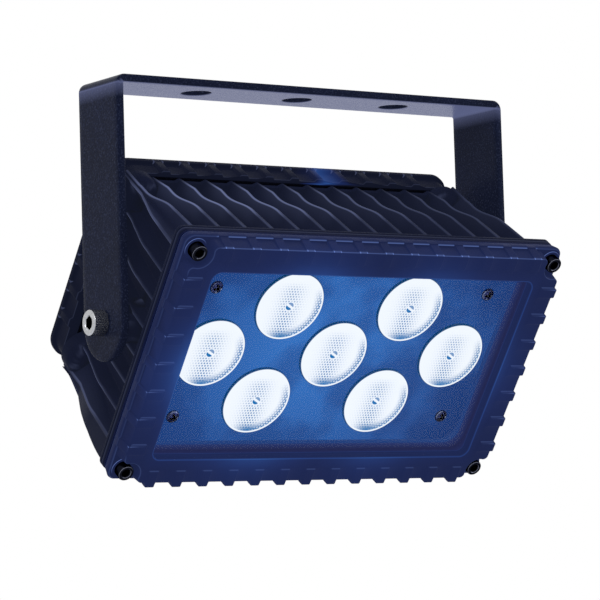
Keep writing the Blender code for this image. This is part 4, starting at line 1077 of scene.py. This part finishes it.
def buildCover():
    # rings from the rear face round its rim to the ribbed band and the mouth, then the pockets and openings
    rows = [coverRing(*row) for row in (
        (-61.0, 0.9, 0), (-60.9, 0.4, 0), (-60.5, 0.05, 0), (-60.2, 0, 0), (-58.3, 0, 0), (-58.0, 0.12, 0.1),
        (-57.85, 1.5, 1.4), (-57.5, 1.6, 1.6), (-48.6, 1.6, 1.6), (-48.2, 1.65, 1.5), (-48.0, 1.9, 1.3))]
    inside = inwards(rows[-1][:, :2], 100.4, 55.4, 5.0)
    grid = np.stack(rows + [lifted(inside, -48.0), lifted(inside, -49.2)])
    # painted highlights along the ribs' flanks and round the mouth
    flank = [0, 1, 0.5, 0, 0, 0, 0, 0.5, 1, 0]
    ends = [0] * 25
    ribHighlights = np.zeros(grid.shape[:2])
    ribHighlights[4:7] = 0.16 * np.array((flank * cover["up"] + ends + flank * cover["across"] + ends) * 2)
    ribHighlights[9] = 0.06
    # painted light: a faint glow all over and a blue patch of the lenses' light on the top edge
    glow = 0.01 + 0.5 * np.exp(-((grid[..., 0] - 22) / 6.0) ** 2) * easeStep(grid[..., 1], 50, 56)
    piece = makePiece("back_cover", [inLamp(shell(grid))], finishes["shadedCoverCoat"], 33, gleam=ribHighlights, glow=glow)
    cuts = [tube(x, y, cover["pocket"], -63, cover["pocketFloor"], 64) for x, y in corners(*cover["screw"])]
    cuts.append(prism(rounded(84.0, 50.0, 3.0), -58.0, -48.0))
    display = prism(rounded(24.0, 11.0, 2.5) + [0, cover["displayY"]], -63, -59.3)
    through = [prism(rounded(20.0, 7.0, 2.0) + [0, cover["displayY"]], -62, -57)]
    through += [tube(x, cover["keyRow"], 5.0, -63, -57) for x in multiples(cover["keySpacing"], 4)]
    through += [tube(x, cover["glandRow"], 8.4, -63, -57) for x in multiples(cover["glandSpacing"], 3)]
    for group in (cuts, [display], through):
        cutPiece(piece, [inLamp(cut) for cut in group], 33)
    settle(piece, "lamp", "coated_casting", "rear_cover")
    for number, (x, y) in enumerate(corners(*cover["screw"]), 1):
        (points, faces), marks = socketScrew(4.25, 5.0, 2.5, 13.0, 4.0, 0, 72, 0.45)
        flipped = (points * [1, -1, -1], faces)
        screw = makePiece(f"back_screw_{number}", [inLamp(flipped, x, y, -54.3)], finishes["blackSteel"], 30,
                          **marks)
        settle(screw, "lamp", "black_screw", f"cover_screw_{number}")


def buildKeys():
    # a turned cap with a soft dome, a flange behind the cover and a stem
    r = cover["keyRadius"]
    profile = [(0.05, -62.75), (1.6, -62.72), (2.9, -62.55), (r - 0.7, -62.2), (r - 0.2, -61.8), (r, -61.2),
               (r, -57.7), (r + 1.2, -57.7), (r + 1.2, -56.7), (1.6, -56.7), (1.6, -55.3), (0.05, -55.3)]
    names = ("key_menu", "key_enter", "key_up", "key_down")
    for name, x in zip(names, reversed(multiples(cover["keySpacing"], 4))):
        part = inLamp(shell(turned(profile, 56)), x, cover["keyRow"])
        piece = makePiece(name.replace("key", "button"), [part], finishes["nylon"], 35)
        settle(piece, name, "nylon", name)


def buildGlands():
    # rings round one axis: a hexagon nut inside, a thread, a hexagon foot and a ridged dome with a bore
    seat = cover["back"] - 0.3
    angle = np.linspace(0, 2 * np.pi, 144, endpoint=False)

    def ring(reach, z):
        return np.stack([reach * np.cos(angle), reach * np.sin(angle), np.full(len(angle), z)], -1)

    def hexRow(flats, z, trim):
        return ring(np.minimum(hexReach(angle, flats), flats / 2 * 1.1547 - trim), z)

    def roundRow(radius, z, ridge=0.0):
        return ring(radius - ridge * np.abs(np.sin(angle * 12)), z)

    rows = [hexRow(*row) for row in (
        (19.6, -54.7, 0.6), (20, -55.0, 0.4), (20, -57.4, 0.4), (19.6, -57.7, 0.6))]
    rows += [roundRow(8.0, -57.7), roundRow(8.0, seat)]
    rows += [hexRow(flats, seat - out, trim) for flats, out, trim in (
        (20.6, 0, 0.6), (21, 0.4, 0.3), (21, 4.6, 0.3), (20.6, 5.0, 0.6))]
    rows += [roundRow(radius, seat - out, ridge) for radius, out, ridge in (
        (9.0, 5.1, 0), (9.0, 5.6, 0), (9.6, 5.8, 0), (9.6, 6.2, 0.35), (9.6, 12.6, 0.35), (9.5, 13.2, 0),
        (9.1, 14.8, 0), (8.3, 16.5, 0), (7.2, 17.9, 0), (6.0, 18.8, 0), (5.4, 19.0, 0), (4.6, 18.9, 0),
        (4.1, 18.5, 0), (4.0, 17.5, 0))]
    rows.append(roundRow(4.0, -54.7))
    names = ("mains", "data_in", "data_out")
    for name, x in zip(names, reversed(multiples(cover["glandSpacing"], 3))):
        part = inLamp(shell(np.stack(rows), along=True), x, cover["glandRow"])
        piece = makePiece(f"inlet_{name}", [part], finishes["nylon"], 35)
        settle(piece, "lamp", "nylon", f"cable_gland_{name}")


buildCover()
buildKeys()
buildGlands()
print("rear built")


# pieces kept from the CAD with better finishes

kept = {
    "rear_gasket": "rubber", "front_glass": "glass", "led_board": "board",
    "control_board": "board", "power_supply": "supply", "display_window": "window",
}
kept.update({f"led_board_screw_{i}": "steel" for i in range(1, 5)})
kept.update({f"control_board_screw_{i}": "steel" for i in range(1, 5)})
for nodeName, finishName in kept.items():
    node = nodes[nodeName]
    node.data.materials.clear()
    node.data.materials.append(finishes[finishName])
print("kept pieces finished")


# room, lights and camera

view = {"turns": (33.9716, 4.7006, -1.7637), "place": (-0.83322, -1.233925, -0.229644), "lens": 174.87}


def stand(thing, side, up, back, place):
    # links an object and turns it to three axes at a place
    bpy.context.scene.collection.objects.link(thing)
    axes = np.eye(4)
    axes[:3] = np.stack([side, up, back, place], -1)
    thing.matrix_world = Matrix(axes.tolist())


def makeCamera():
    data = bpy.data.cameras.new("camera")
    camera = bpy.data.objects.new("camera", data)
    yaw, pitch, roll = (math.radians(v) for v in view["turns"])
    ahead = np.array([math.sin(yaw) * math.cos(pitch), math.cos(yaw) * math.cos(pitch), math.sin(pitch)])
    across = np.array([math.cos(yaw), -math.sin(yaw), 0.0])
    above = np.cross(across, ahead)
    right = math.cos(roll) * across + math.sin(roll) * above
    data.lens = view["lens"]
    data.sensor_width = 36.0
    data.clip_start = 0.05
    data.clip_end = 50.0
    stand(camera, right, np.cross(right, ahead), -ahead, view["place"])
    bpy.context.scene.camera = camera


def seenDirectly(tree):
    # 1 for the camera's, glossy and transmitted rays, 0 for the light that falls on the object
    rays = addNode(tree, "LightPath").outputs
    direct = combined(tree, "MAXIMUM", rays["Is Camera Ray"], rays["Is Glossy Ray"])
    return combined(tree, "MAXIMUM", direct, rays["Is Transmission Ray"])


def makeRoom():
    # a pale floor under the lamp; the world shows white to the camera and plain grey light to the object
    material, tree, shader = newMaterial("pale floor")
    plug(tree, shader, [("Base Color", linear("#C4CCE0")), ("Roughness", 0.8)])
    white = addNode(tree, "Emission", [("Color", (1, 1, 1, 1)), ("Strength", 1.0)]).outputs[0]
    most = combined(tree, "MULTIPLY", seenDirectly(tree), 0.9)
    both = eitherShader(tree, most, shader.outputs[0], white)
    plug(tree, tree.nodes["Material Output"], [("Surface", both)])
    far = 6000
    sheet = np.array([[[-far, -far, -700], [far, -far, -700]], [[-far, far, -700], [far, far, -700]]], float)
    makePiece("floor", [shell(sheet, around=False)], material)
    world = bpy.data.worlds.new("room")
    bpy.context.scene.world = world
    world.use_nodes = True
    tree = world.node_tree
    tree.nodes.clear()
    plain = addNode(tree, "Background", [("Color", linear("#D2DAEC")), ("Strength", 0.42)]).outputs[0]
    bright = addNode(tree, "Background", [("Color", (1, 1, 1, 1)), ("Strength", 1.0)]).outputs[0]
    addNode(tree, "OutputWorld", [("Surface", eitherShader(tree, seenDirectly(tree), plain, bright))])


def addLamp(name, place, target, size, power):
    data = bpy.data.lights.new(name, "AREA")
    data.shape = "RECTANGLE"
    data.size, data.size_y = size
    data.energy = power
    away = np.array(place, float) - np.array(target, float)
    away /= np.linalg.norm(away)
    side = np.cross([0, 0, 1], away)
    side /= np.linalg.norm(side)
    stand(bpy.data.objects.new(name, data), side, np.cross(away, side), away, place)


makeCamera()
makeRoom()
addLamp("key", (-1.3, -1.2, 1.1), (0, 0, -0.1), (0.9, 0.9), 12)
addLamp("fill", (1.6, -1.0, 0.3), (0, 0, -0.1), (0.9, 1.2), 6)
addLamp("top", (0.2, 0.5, 1.5), (0, 0, -0.1), (1.4, 0.8), 10)
bpy.context.scene.view_settings.view_transform = "Standard"
print("room, lights and camera made")
